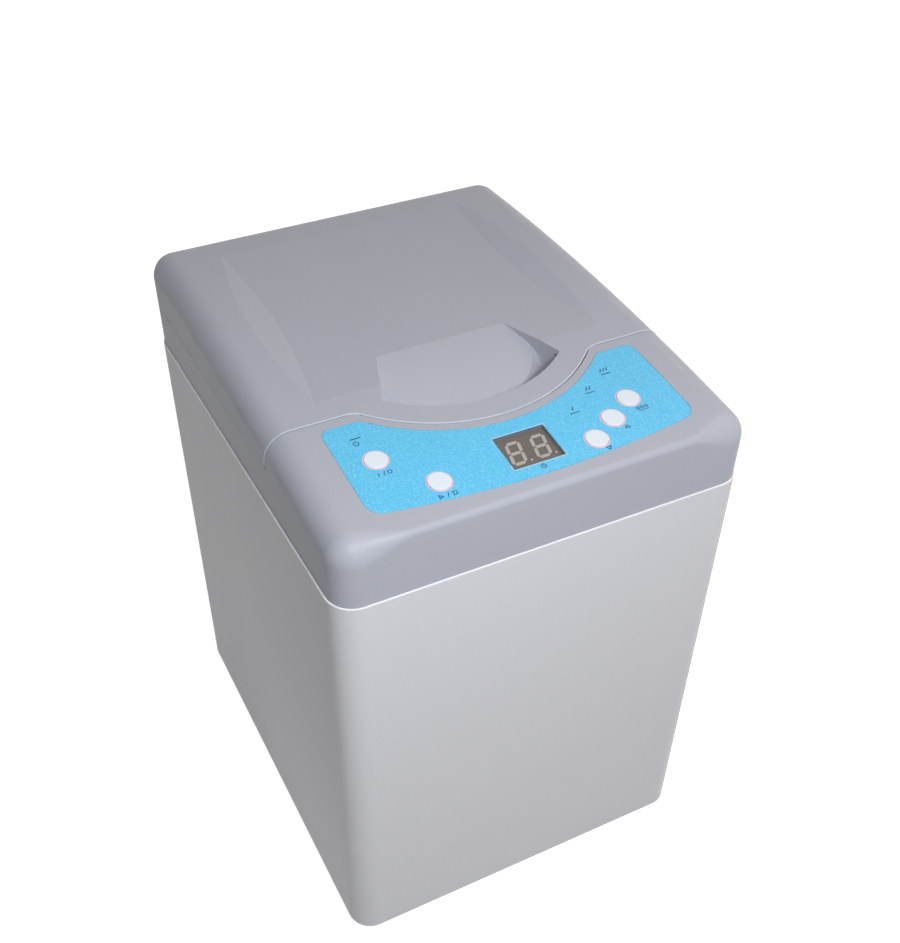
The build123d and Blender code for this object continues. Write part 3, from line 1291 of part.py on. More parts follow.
with BuildPart() as holder_axle:
    with BuildSketch(BOWL_PLANE.offset(CARRIER_BOTTOM - NUT_HEIGHT - 2 * RUNNING_GAP)):
        Circle(AXLE_RADIUS)
    extrude(amount=BOWL_FLOOR - BOWL_SEAT_GAP - CARRIER_BOTTOM + NUT_HEIGHT + 2 * RUNNING_GAP)
    with BuildSketch(BOWL_PLANE.offset(CARRIER_TOP + RUNNING_GAP)):
        Circle(AXLE_RADIUS + BEARING_LIP)
    extrude(amount=CARRIER_GAP - RUNNING_GAP)
save(holder_axle, "holder_axle")

with BuildPart() as holder_nut:
    with BuildSketch(BOWL_PLANE.offset(CARRIER_BOTTOM - NUT_HEIGHT - RUNNING_GAP)):
        RegularPolygon(NUT_RADIUS, 6)
        Circle(AXLE_RADIUS, mode=Mode.SUBTRACT)
    extrude(amount=NUT_HEIGHT)
save(holder_nut, "holder_nut")

# ---------------------------------------------------------------- mixing bowl and its cap
with BuildPart() as mixing_bowl:
    with BuildSketch(BOWL_SECTION):
        with BuildLine():
            Polyline(
                (0, BOWL_FLOOR),
                (bowl_outer(BOWL_FLOOR) - BOWL_EDGE, BOWL_FLOOR),
                (bowl_outer(BOWL_FLOOR), BOWL_FLOOR + BOWL_EDGE),
                (BOWL_RADIUS, BOWL_MOUTH - BOWL_RIM_HEIGHT),
                (BOWL_RIM_RADIUS, BOWL_MOUTH - BOWL_RIM_HEIGHT),
                (BOWL_RIM_RADIUS, BOWL_MOUTH),
                (BOWL_RADIUS - BOWL_WALL, BOWL_MOUTH),
                (bowl_outer(BOWL_FLOOR) - BOWL_WALL, BOWL_FLOOR + BOWL_WALL + BOWL_CORNER),
            )
            RadiusArc(
                (bowl_outer(BOWL_FLOOR) - BOWL_WALL, BOWL_FLOOR + BOWL_WALL + BOWL_CORNER),
                (bowl_outer(BOWL_FLOOR) - BOWL_WALL - BOWL_CORNER, BOWL_FLOOR + BOWL_WALL),
                BOWL_CORNER,
            )
            Polyline(
                (bowl_outer(BOWL_FLOOR) - BOWL_WALL - BOWL_CORNER, BOWL_FLOOR + BOWL_WALL),
                (0, BOWL_FLOOR + BOWL_WALL),
                (0, BOWL_FLOOR),
            )
        make_face()
    revolve(axis=BOWL_AXIS)
    with BuildSketch(BOWL_PLANE.offset(BOWL_MOUTH - BOWL_RIM_HEIGHT)):
        with PolarLocations(0, BAYONET_COUNT, BAYONET_TURN):
            Polygon(*wedge(BOWL_RIM_RADIUS * 2, BAYONET_ANGLE / 2 + BAYONET_SLACK), align=None)
        Circle(BOWL_RADIUS, mode=Mode.SUBTRACT)
    extrude(amount=BOWL_RIM_HEIGHT, mode=Mode.SUBTRACT)
    with BuildSketch(BOWL_PLANE.offset(HOLDER_TOP - KEY_HEIGHT)):
        with PolarLocations(HOLDER_RADIUS - HOLDER_WALL, KEY_COUNT):
            Rectangle(2 * KEY_DEPTH, KEY_WIDTH)
        Circle(bowl_outer(HOLDER_TOP) - BOWL_WALL / 2, mode=Mode.SUBTRACT)
    extrude(amount=KEY_HEIGHT)
save(mixing_bowl, "mixing_bowl")

with BuildPart() as bowl_cap:
    with BuildSketch(BOWL_SECTION):
        Polygon(
            (0, BOWL_MOUTH + BAYONET_CLEARANCE),
            (BOWL_RIM_RADIUS + BAYONET_CLEARANCE, BOWL_MOUTH + BAYONET_CLEARANCE),
            (BOWL_RIM_RADIUS + BAYONET_CLEARANCE, LUG_BOTTOM),
            (CAP_RADIUS, LUG_BOTTOM),
            (CAP_RADIUS, CAP_TOP - CAP_WALL / 2),
            (CAP_RADIUS - CAP_WALL / 2, CAP_TOP),
            (0, CAP_TOP),
            align=None,
        )
    revolve(axis=BOWL_AXIS)
    with BuildSketch(BOWL_PLANE.offset(LUG_BOTTOM)):
        with PolarLocations(0, BAYONET_COUNT):
            Polygon(*wedge(CAP_RADIUS * 2, BAYONET_ANGLE / 2), align=None)
        Circle(BOWL_RIM_RADIUS + CAP_WALL, mode=Mode.INTERSECT)
        Circle(BOWL_RADIUS + 2 * BAYONET_CLEARANCE, mode=Mode.SUBTRACT)
    extrude(amount=BAYONET_HEIGHT)
    with BuildSketch(BOWL_PLANE.offset(CAP_TOP)):
        Circle(KNOB_RADIUS)
        with PolarLocations(KNOB_RADIUS + KNOB_GRIP_RADIUS - KNOB_GRIP_DEPTH, KNOB_FLUTES):
            Circle(KNOB_GRIP_RADIUS, mode=Mode.SUBTRACT)
    extrude(amount=KNOB_HEIGHT)
    fillet(bowl_cap.faces().sort_by(BOWL_AXIS)[-1].edges(), KNOB_ROUND)
save(bowl_cap, "bowl_cap")

# ---------------------------------------------------------------- lid
with BuildPart() as lid_shell:
    add(OUTER_FORM)
    add(lid_region(0, SEAM_Z), mode=Mode.INTERSECT)
    add(dish_cutter(0), mode=Mode.SUBTRACT)
    add(pull_cutter(0), mode=Mode.SUBTRACT)
    add(LID_HOLLOW, mode=Mode.SUBTRACT)
    with BuildSketch(Plane.XY.offset(LINER_TOP_Z)):
        with Locations(*LID_SCREWS):
            Circle(LID_BOSS_RADIUS)
    lid_bosses = extrude(amount=ABOVE_Z - LINER_TOP_Z, mode=Mode.PRIVATE)
    add(lid_bosses & LID_HOLLOW)
    with BuildSketch(Plane.XY.offset(LINER_TOP_Z)):
        with Locations(*LID_SCREWS):
            Circle(SCREW_RADIUS)
    extrude(amount=SCREW_GRIP, mode=Mode.SUBTRACT)
    add(hinge_pockets(), mode=Mode.SUBTRACT)
save(lid_shell, "lid_shell")

with BuildPart() as lid_liner:
    with BuildSketch(Plane.XY.offset(SEAM_Z)):
        RectangleRounded(
            CASING_WIDTH - 2 * LINER_INSET, CASING_DEPTH - 2 * LINER_INSET, CASING_CORNER - LINER_INSET
        )
        with Locations((SIDE_X, LOCK_Y)):
            Rectangle(HOOK_THICKNESS, HOOK_WIDTH, mode=Mode.SUBTRACT)
        with Locations(*LID_SCREWS):
            Circle(SCREW_RADIUS + FIT, mode=Mode.SUBTRACT)
    extrude(amount=LINER_THICKNESS)
    add(lid_region(-COVER_WALL - FIT, SEAM_Z), mode=Mode.INTERSECT)
    with BuildSketch(Plane.XY.offset(SEAM_Z)):
        with Locations(*LID_SCREWS):
            Circle(SCREW_HEAD_RADIUS + FIT)
    extrude(amount=SCREW_HEAD_HEIGHT, mode=Mode.SUBTRACT)
    add(hinge_pockets(), mode=Mode.SUBTRACT)
save(lid_liner, "lid_liner")

with BuildPart() as liner_screws:
    with BuildSketch(Plane.XY.offset(SEAM_Z)):
        with Locations(*LID_SCREWS):
            Circle(SCREW_HEAD_RADIUS)
    extrude(amount=SCREW_HEAD_HEIGHT)
    with BuildSketch(Plane.XY.offset(SEAM_Z + SCREW_HEAD_HEIGHT)):
        with Locations(*LID_SCREWS):
            Circle(SCREW_RADIUS)
    extrude(amount=LINER_THICKNESS - SCREW_HEAD_HEIGHT + SCREW_GRIP - FIT)
save(liner_screws, "liner_screws")

with BuildPart() as lid_hook:
    with BuildSketch(Plane.XY.offset(LINER_TOP_Z)):
        with Locations((SIDE_X, LOCK_Y)):
            Rectangle(HOOK_FOOT_WIDTH, HOOK_FOOT_LENGTH)
    extrude(amount=HOOK_FOOT_THICKNESS)
    with BuildSketch(Plane.YZ.offset(SIDE_X - HOOK_THICKNESS / 2)):
        with Locations((LOCK_Y, (LINER_TOP_Z + HOOK_TIP_Z) / 2)):
            Rectangle(HOOK_WIDTH, LINER_TOP_Z - HOOK_TIP_Z)
        with Locations((LOCK_Y, HOOK_TIP_Z + HOOK_EYE_LIFT)):
            Rectangle(HOOK_EYE_SIZE, HOOK_EYE_SIZE, mode=Mode.SUBTRACT)
    extrude(amount=HOOK_THICKNESS)
    fillet(lid_hook.edges().filter_by(Axis.X).group_by(Axis.Z)[0], HOOK_THICKNESS)
save(lid_hook, "lid_hook")

with BuildPart() as lock_body:
    with BuildSketch(Plane.XY.offset(DECK_BOTTOM_Z - LOCK_HEIGHT)):
        with Locations((SIDE_X, LOCK_Y)):
            Rectangle(LOCK_WIDTH, LOCK_LENGTH)
    extrude(amount=LOCK_HEIGHT)
    with BuildSketch(Plane.XY.offset(DECK_BOTTOM_Z)):
        with Locations((SIDE_X, LOCK_Y)):
            Rectangle(HOOK_THICKNESS + 2 * HOOK_SIDE_GAP, HOOK_WIDTH + 2 * HOOK_SWING_GAP)
    extrude(amount=-(DECK_BOTTOM_Z - HOOK_TIP_Z + HOOK_SWING_GAP), mode=Mode.SUBTRACT)
    with BuildSketch(Plane.YZ.offset(SIDE_X)):
        with Locations((LOCK_Y, HOOK_TIP_Z + HOOK_EYE_LIFT)):
            Circle(PLUNGER_RADIUS + FIT)
    extrude(amount=LOCK_WIDTH, mode=Mode.SUBTRACT)
save(lock_body, "lock_body")

with BuildPart() as lock_plunger:
    with BuildSketch(Plane.YZ.offset(SIDE_X + HOOK_THICKNESS / 2 + HOOK_SIDE_GAP + PLUNGER_SETBACK)):
        with Locations((LOCK_Y, HOOK_TIP_Z + HOOK_EYE_LIFT)):
            Circle(PLUNGER_RADIUS)
    extrude(amount=PLUNGER_LENGTH)
    chamfer(lock_plunger.faces().sort_by(Axis.X)[0].edges(), PLUNGER_CHAMFER)
save(lock_plunger, "lock_plunger")

# ---------------------------------------------------------------- hinges
with BuildPart() as housing_leaves:
    for hinge_x in (-HINGE_X, HINGE_X):
        with BuildSketch(Plane.XZ.offset(-HINGE_Y)):
            with Locations((hinge_x, HINGE_Z - HINGE_LEAF_REACH / 2)):
                Rectangle(2 * HINGE_HALF_LENGTH, HINGE_LEAF_REACH)
        extrude(amount=HINGE_LEAF_THICKNESS)
    add(hinge_cylinders(HINGE_BARREL_RADIUS + HINGE_GAP, HINGE_HALF_LENGTH), mode=Mode.SUBTRACT)
    add(hinge_cylinders(HINGE_BARREL_RADIUS, HINGE_HALF_LENGTH))
    add(
        hinge_cylinders(HINGE_BARREL_RADIUS + HINGE_GAP, HINGE_KNUCKLE / 2 + HINGE_GAP),
        mode=Mode.SUBTRACT,
    )
    for hinge_x in (-HINGE_X, HINGE_X):
        with BuildSketch(Plane.XZ.offset(-HINGE_Y)):
            for side in (-1, 1):
                with Locations((hinge_x + side * HINGE_OUTER_X, HINGE_Z - HINGE_BARREL_RADIUS)):
                    Rectangle(HINGE_KNUCKLE - HINGE_GAP, 2 * HINGE_BARREL_RADIUS)
        extrude(amount=HINGE_LEAF_THICKNESS)
    add(hinge_cylinders(HINGE_PIN_RADIUS, HINGE_HALF_LENGTH + HINGE_GAP), mode=Mode.SUBTRACT)
save(housing_leaves, "hinge_housing_leaves")

with BuildPart() as lid_leaves:
    for hinge_x in (-HINGE_X, HINGE_X):
        with BuildSketch(Plane.XZ.offset(-HINGE_Y)):
            with Locations((hinge_x, HINGE_Z + HINGE_LEAF_REACH / 2)):
                Rectangle(2 * HINGE_HALF_LENGTH, HINGE_LEAF_REACH)
        extrude(amount=HINGE_LEAF_THICKNESS)
    add(hinge_cylinders(HINGE_BARREL_RADIUS + HINGE_GAP, HINGE_HALF_LENGTH), mode=Mode.SUBTRACT)
    add(hinge_cylinders(HINGE_BARREL_RADIUS, HINGE_KNUCKLE / 2))
    for hinge_x in (-HINGE_X, HINGE_X):
        with BuildSketch(Plane.XZ.offset(-HINGE_Y)):
            with Locations((hinge_x, HINGE_Z + HINGE_BARREL_RADIUS)):
                Rectangle(HINGE_KNUCKLE, 2 * HINGE_BARREL_RADIUS)
        extrude(amount=HINGE_LEAF_THICKNESS)
    add(hinge_cylinders(HINGE_PIN_RADIUS + RUNNING_GAP, HINGE_HALF_LENGTH), mode=Mode.SUBTRACT)
save(lid_leaves, "hinge_lid_leaves")

with BuildPart() as hinge_pins:
    add(hinge_cylinders(HINGE_PIN_RADIUS, HINGE_HALF_LENGTH))
save(hinge_pins, "hinge_pins")

with BuildPart() as lid_hinge_screws:
    with BuildSketch(Plane.XZ.offset(-HINGE_Y)):
        with Locations(*hinge_screw_places(HINGE_Z + HINGE_SCREW_REACH)):
            Circle(HINGE_SCREW_HEAD_RADIUS)
    extrude(amount=-HINGE_SCREW_HEAD_HEIGHT)
save(lid_hinge_screws, "hinge_lid_screws")

with BuildPart() as rear_screws:
    with BuildSketch(Plane.XZ.offset(-HINGE_Y)):
        with Locations(*hinge_screw_places(HINGE_Z - HINGE_SCREW_REACH)):
            Circle(HINGE_SCREW_HEAD_RADIUS)
    extrude(amount=-HINGE_SCREW_HEAD_HEIGHT)
    with BuildSketch(Plane.XZ.offset(-REAR_Y - INLET_FLANGE_THICKNESS)):
        with Locations((INLET_X, INLET_Z)):
            with GridLocations(INLET_SCREW_PITCH, 0, 2, 1):
                Circle(SCREW_HEAD_RADIUS)
    extrude(amount=SCREW_HEAD_HEIGHT)
save(rear_screws, "rear_screws")

# ---------------------------------------------------------------- mains parts
with BuildPart() as power_inlet:
    with BuildSketch(Plane.XZ.offset(-REAR_Y)):
        with Locations((INLET_X, INLET_Z)):
            RectangleRounded(INLET_FLANGE_WIDTH, INLET_FLANGE_HEIGHT, INLET_FLANGE_THICKNESS)
    extrude(amount=-INLET_FLANGE_THICKNESS)
    with BuildSketch(Plane.XZ.offset(-REAR_Y)):
        with Locations((INLET_X, INLET_Z)):
            Rectangle(INLET_BODY_WIDTH, INLET_BODY_HEIGHT)
    extrude(amount=INLET_BODY_DEPTH)
    with BuildSketch(Plane.XZ.offset(-REAR_Y - INLET_FLANGE_THICKNESS)):
        with Locations((INLET_X, INLET_Z + SOCKET_LIFT)):
            socket = Rectangle(SOCKET_WIDTH, SOCKET_HEIGHT)
        chamfer(socket.vertices().group_by(Axis.Y)[-1], SOCKET_CHAMFER)
    extrude(amount=SOCKET_DEPTH, mode=Mode.SUBTRACT)
    with BuildSketch(Plane.XZ.offset(-REAR_Y - INLET_FLANGE_THICKNESS)):
        with Locations((INLET_X, INLET_Z - FUSE_DROP)):
            Rectangle(FUSE_WIDTH + FIT, FUSE_HEIGHT + FIT)
    extrude(amount=FUSE_DEPTH, mode=Mode.SUBTRACT)
    with BuildSketch(Plane.XZ.offset(-REAR_Y - INLET_FLANGE_THICKNESS)):
        with Locations((INLET_X, INLET_Z)):
            with GridLocations(INLET_SCREW_PITCH, 0, 2, 1):
                Circle(SCREW_HEAD_RADIUS)
    extrude(amount=SCREW_HEAD_HEIGHT, mode=Mode.SUBTRACT)
    with BuildSketch(Plane.XZ.offset(SOCKET_DEPTH - REAR_Y - INLET_FLANGE_THICKNESS)):
        for x, lift in ((-CONTACT_PITCH, 0), (0, CONTACT_HEIGHT), (CONTACT_PITCH, 0)):
            with Locations((INLET_X + x, INLET_Z + SOCKET_LIFT - CONTACT_DROP + lift)):
                Rectangle(CONTACT_WIDTH, CONTACT_HEIGHT)
    extrude(amount=-CONTACT_LENGTH)
save(power_inlet, "power_inlet")

with BuildPart() as fuse_drawer:
    with BuildSketch(Plane.XZ.offset(-REAR_Y - INLET_FLANGE_THICKNESS - FUSE_PROUD)):
        with Locations((INLET_X, INLET_Z - FUSE_DROP)):
            Rectangle(FUSE_WIDTH, FUSE_HEIGHT)
    extrude(amount=FUSE_DEPTH + FUSE_PROUD)
save(fuse_drawer, "fuse_drawer")

with BuildPart() as run_capacitor:
    with BuildSketch(Plane.XY.offset(BASE_TOP_Z)):
        with Locations((CAPACITOR_X, CAPACITOR_Y)):
            Circle(CAPACITOR_RADIUS)
    extrude(amount=CAPACITOR_HEIGHT)
    fillet(run_capacitor.edges().group_by(Axis.Z)[-1], CAPACITOR_ROUND)
    with BuildSketch(Plane.XY.offset(BASE_TOP_Z + CAPACITOR_HEIGHT)):
        with Locations((CAPACITOR_X, CAPACITOR_Y)):
            with GridLocations(CAPACITOR_RADIUS, 0, 2, 1):
                Rectangle(CLAMP_WALL, CONTACT_HEIGHT)
    extrude(amount=CONTACT_HEIGHT)
save(run_capacitor, "run_capacitor")

with BuildPart() as capacitor_clamp:
    with BuildSketch(Plane.XY.offset(BASE_TOP_Z)):
        with Locations((CAPACITOR_X, CAPACITOR_Y)):
            Circle(CAPACITOR_RADIUS + CLAMP_WALL)
            Circle(CAPACITOR_RADIUS, mode=Mode.SUBTRACT)
    extrude(amount=CLAMP_HEIGHT)
save(capacitor_clamp, "capacitor_clamp")

with BuildPart() as power_board:
    with BuildSketch(Plane.XY.offset(BASE_TOP_Z)):
        with Locations((0, POWER_BOARD_Y)):
            with GridLocations(
                POWER_BOARD_WIDTH - 2 * BOSS_RADIUS, POWER_BOARD_DEPTH - 2 * BOSS_RADIUS, 2, 2
            ):
                Circle(POST_RADIUS)
    extrude(amount=POWER_BOARD_LIFT)
    with BuildSketch(Plane.XY.offset(BASE_TOP_Z + POWER_BOARD_LIFT)):
        with Locations((0, POWER_BOARD_Y)):
            Rectangle(POWER_BOARD_WIDTH, POWER_BOARD_DEPTH)
    extrude(amount=BOARD_THICKNESS)
    for x, width, height in POWER_BLOCKS:
        with BuildSketch(Plane.XY.offset(BASE_TOP_Z + POWER_BOARD_LIFT + BOARD_THICKNESS)):
            with Locations((x, POWER_BOARD_Y)):
                Rectangle(width, POWER_BOARD_DEPTH - 4 * POST_RADIUS)
        extrude(amount=height)
    with BuildSketch(Plane.XY.offset(BASE_TOP_Z + POWER_BOARD_LIFT + BOARD_THICKNESS)):
        with Locations((HEATSINK_X, POWER_BOARD_Y)):
            with GridLocations(HEATSINK_PITCH, 0, HEATSINK_FINS, 1):
                Rectangle(CLAMP_WALL, POWER_BOARD_DEPTH - 4 * POST_RADIUS)
    extrude(amount=HEATSINK_HEIGHT)
save(power_board, "power_board")
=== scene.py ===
"""Finishes, small fittings, light and camera of a centrifugal mixer for impression material.

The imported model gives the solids, in metres: +Z up, the control panel towards -Y, the floor at z = 0.
Each sub-assembly is a class that holds its own sizes in millimetres, gives every solid its finish
and adds what is too fine for the solids: printed marks, screw recesses, board parts, windings.
"""

from __future__ import annotations

import logging
import math
import random
from dataclasses import dataclass
from enum import Enum
from typing import Any, Callable, Iterable, Iterator, Mapping, Sequence

import bmesh
import bpy
import numpy as np
from mathutils import Euler, Matrix, Vector
from mathutils.bvhtree import BVHTree


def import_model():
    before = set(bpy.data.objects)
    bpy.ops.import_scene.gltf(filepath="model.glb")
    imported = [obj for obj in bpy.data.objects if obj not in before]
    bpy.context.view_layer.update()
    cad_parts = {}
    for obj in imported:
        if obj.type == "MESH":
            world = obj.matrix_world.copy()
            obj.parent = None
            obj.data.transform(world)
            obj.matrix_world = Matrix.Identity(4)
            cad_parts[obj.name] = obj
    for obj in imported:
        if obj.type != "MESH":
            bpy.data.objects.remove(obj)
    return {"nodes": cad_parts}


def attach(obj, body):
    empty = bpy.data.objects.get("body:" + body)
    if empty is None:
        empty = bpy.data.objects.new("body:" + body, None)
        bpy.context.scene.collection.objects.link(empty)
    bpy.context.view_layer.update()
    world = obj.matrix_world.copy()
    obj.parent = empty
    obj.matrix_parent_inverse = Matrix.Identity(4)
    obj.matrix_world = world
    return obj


LOG = logging.getLogger("mixer")
MM = 0.001
MICRON = 1e-6
SHARP_ANGLE = 35.0  # degrees between faces from which a smooth piece keeps an edge
SHAFT_DEPTH = 6.0  # place along Y of the axis of well and motor, in millimetres
TURN = 2 * math.pi

Colour = tuple[float, float, float, float]
Triple = tuple[float, float, float]
Spot = tuple[float, float]


def display_colour(colour: Triple) -> Colour:
    """Turns a colour as a screen shows it, from 0 to 255, into the linear one that a shader takes.

    Args:
        colour: Red, green and blue from 0 to 255.

    Returns:
        The linear colour with full opacity.
    """
    linear = []
    for value in colour:
        share = value / 255
        linear.append(share / 12.92 if share <= 0.04045 else ((share + 0.055) / 1.055) ** 2.4)
    return (linear[0], linear[1], linear[2], 1.0)


# ------------------------------------------------------------------ node trees as expressions
def math_node(operation: str) -> Callable[..., Channel]:
    """Makes a method that puts one Math node over a channel and any further value.

    Args:
        operation: The node's operation.

    Returns:
        The method.
    """

    def method(channel: Channel, *others: Channel | float) -> Channel:
        """Adds the node."""
        values = dict(enumerate((channel, *others)))
        return channel.graph.node("ShaderNodeMath", {"operation": operation}, values)

    return method


class Channel:
    """One output of a node, on which sums are written like sums on numbers."""

    __add__ = __radd__ = math_node("ADD")
    __sub__ = math_node("SUBTRACT")
    __mul__ = __rmul__ = math_node("MULTIPLY")
    __pow__ = math_node("POWER")
    sine = math_node("SINE")

    def __init__(self, graph: Graph, socket: bpy.types.NodeSocket) -> None:
        """Remembers the socket and the graph that new nodes go into."""
        self.graph = graph
        self.socket = socket

    def above(self, low: float, high: float) -> Channel:
        """A smooth step from 0 at low to 1 at high."""
        limits = {"Value": self, "From Min": low, "From Max": high}
        return self.graph.node("ShaderNodeMapRange", {"interpolation_type": "SMOOTHSTEP"}, limits)


class Graph:
    """Adds nodes to a shader tree or a Geometry Nodes tree."""

    def __init__(self, tree: bpy.types.NodeTree) -> None:
        """Works in the given tree."""
        self.tree = tree

    def node(
        self,
        kind: str,
        settings: Mapping[str, Any] | None = None,
        inputs: Mapping[str | int, Any] | None = None,
        output: str | int = 0,
    ) -> Channel:
        """Adds a node of any type.

        Args:
            kind: The node's type.
            settings: Its own settings, set before its sockets.
            inputs: Values or channels for its sockets, by name or number.
            output: The socket that the returned channel reads.

        Returns:
            The chosen output.
        """
        made = self.tree.nodes.new(kind)
        for name, value in (settings or {}).items():
            setattr(made, name, value)
        for key, value in (inputs or {}).items():
            self.feed(made.inputs[key], value)
        return Channel(self, made.outputs[output])

    def feed(self, socket: bpy.types.NodeSocket, value: Any) -> None:
        """Links a channel to a socket, or sets a plain value on it.

        Args:
            socket: The socket that is fed.
            value: A channel or a plain value.
        """
        if isinstance(value, Channel):
            self.tree.links.new(value.socket, socket)
        else:
            socket.default_value = value

    def combine(self, x: Any = 0.0, y: Any = 0.0, z: Any = 0.0) -> Channel:
        """A vector from its parts."""
        return self.node("ShaderNodeCombineXYZ", inputs={0: x, 1: y, 2: z})

    def place(self) -> Channel:
        """The point in the row frame, in metres."""
        return self.node("ShaderNodeTexCoord", output="Object")

    def axes(self) -> tuple[Channel, Channel, Channel]:
        """The point's x, y and z in metres."""
        split = self.node("ShaderNodeSeparateXYZ", inputs={"Vector": self.place()})
        x, y, z = (Channel(self, socket) for socket in split.socket.node.outputs)
        return x, y, z

    def stretched(self, x: float, y: float, z: float) -> Channel:
        """The point with its axes stretched, for grain that runs one way."""
        return self.node("ShaderNodeMapping", inputs={"Vector": self.place(), "Scale": (x, y, z)})

    def noise(
        self, scale: float, detail: float = 2.0, rough: float = 0.5, where: Channel | None = None
    ) -> Channel:
        """A soft noise between 0 and 1.

        Args:
            scale: Patches to a metre.
            detail: Octaves of finer noise.
            rough: Strength of the finer octaves.
            where: The point to read it at, else the plain point.

        Returns:
            The noise.
        """
        inputs = {"Vector": where or self.place(), "Scale": scale, "Detail": detail, "Roughness": rough}
        return self.node("ShaderNodeTexNoise", inputs=inputs)

    def mix(self, share: Channel | float, first: Channel | Colour, second: Channel | Colour) -> Channel:
        """Goes from the first colour to the second as share goes from 0 to 1."""
        return self.node("ShaderNodeMix", {"data_type": "RGBA"}, {0: share, 6: first, 7: second}, output=2)

    def bump(self, height: Channel, depth: float, below: Channel | None = None) -> Channel:
        """Turns a height from 0 to 1 into a relief, of a depth in micrometres, over a coarser one.

        Args:
            height: The height.
            depth: What a height of 1 stands for, in micrometres.
            below: A coarser relief that this one lies on.

        Returns:
            The normal.
        """
        inputs: dict[str | int, Any] = {"Height": height, "Distance": depth * MICRON, "Strength": 1.0}
        if below is not None:
            inputs["Normal"] = below
        return self.node("ShaderNodeBump", inputs=inputs)

    def sight(self) -> Channel:
        """1 for rays that look at something, straight, in a mirror or through glass, else 0."""
        outputs = self.node("ShaderNodeLightPath").socket.node.outputs
        seen, mirrored, through = (
            Channel(self, outputs[f"Is {kind} Ray"]) for kind in ("Camera", "Glossy", "Transmission")
        )
        return seen + mirrored + through

    def surface(
        self, shader: bpy.types.Node, colour: Channel, relief: Channel, gloss: Channel | None = None
    ) -> None:
        """Feeds the shader with colour, relief and, where it isn't even, roughness.

        Args:
            shader: The material's shader.
            colour: Its base colour.
            relief: Its normal.
            gloss: Its roughness, else the finish's even one.
        """
        self.feed(shader.inputs["Base Color"], colour)
        self.feed(shader.inputs["Normal"], relief)
        if gloss is not None:
            self.feed(shader.inputs["Roughness"], gloss)


# ------------------------------------------------------------------ finishes
@dataclass(frozen=True)
class Finish:
    """A plain surface whose colour drifts a little and whose grain is fine.

    Colours are as a screen shows them, from 0 to 255. Scales are in patches to a metre and depths
    in micrometres.
    """

    name: str
    slot: str
    colour: Triple
    roughness: float = 0.5
    metallic: float = 0.0
    specular: float = 0.5
    alpha: float = 1.0
    coat: float = 0.0
    drift: float = 0.05
    drift_scale: float = 22.0
    grain_scale: float = 1400.0
    grain_depth: float = 20.0
    gloss_drift: float = 0.06

    def material(self) -> bpy.types.Material:
        """Builds the material, once for each finish.

        Returns:
            The material.
        """
        known = bpy.data.materials.get(self.name)
        if known is not None:
            return known
        made = bpy.data.materials.new(self.name)
        made.use_nodes = True
        shader = made.node_tree.nodes["Principled BSDF"]
        values = {
            "Roughness": self.roughness, "Metallic": self.metallic, "Specular IOR Level": self.specular,
            "Alpha": self.alpha, "Coat Weight": self.coat,
        }
        for label, value in values.items():
            shader.inputs[label].default_value = value
        self.dress(Graph(made.node_tree), shader)
        return made

    def shade(self, factor: float = 1.0) -> Colour:
        """The finish's colour, darker or lighter by a factor."""
        return (*(min(1.0, part * factor) for part in display_colour(self.colour)[:3]), 1.0)

    def drifting(self, noise: Channel) -> Channel:
        """The colour, a little darker and lighter along a noise."""
        return noise.graph.mix(noise, self.shade(1 - self.drift), self.shade(1 + self.drift))

    def gloss(self, noise: Channel, times: float = 1.0) -> Channel:
        """The roughness, a little lower and higher along a noise."""
        return (noise - 0.5) * (self.gloss_drift * times) + self.roughness

    def dress(self, graph: Graph, shader: bpy.types.Node) -> None:
        """Feeds the shader with drifting colour, drifting gloss and fine grain.

        Args:
            graph: The material's nodes.
            shader: Its shader.
        """
        graph.surface(
            shader,
            self.drifting(graph.noise(self.drift_scale, 3.0)),
            graph.bump(graph.noise(self.grain_scale), self.grain_depth),
            self.gloss(graph.noise(self.drift_scale * 3)),
        )


@dataclass(frozen=True)
class BakedPaint(Finish):
    """Baked enamel on sheet steel: a faint orange peel under an even satin gloss."""

    peel_scale: float = 260.0
    peel_depth: float = 40.0
    speck: float = 0.1
    speck_band: Spot = (0.58, 0.74)
    wipe_scale: float = 7.0
    wipe_stretch: float = 0.35

    def dress(self, graph: Graph, shader: bpy.types.Node) -> None:
        """Adds orange peel, fine specks and a trace of dulling where hands and cloths reach."""
        base = self.drifting(graph.noise(self.drift_scale, 3.0))
        specks = graph.noise(self.grain_scale, 1.0)
        wipes = graph.noise(self.wipe_scale, 4.0, 0.6, graph.stretched(1.0, 1.0, self.wipe_stretch))
        peel = graph.bump(graph.noise(self.peel_scale), self.peel_depth)
        graph.surface(
            shader,
            graph.mix(specks.above(*self.speck_band) * 0.5, base, self.shade(1 - self.speck)),
            graph.bump(specks, self.grain_depth, peel),
            self.gloss(wipes, 2.0),
        )


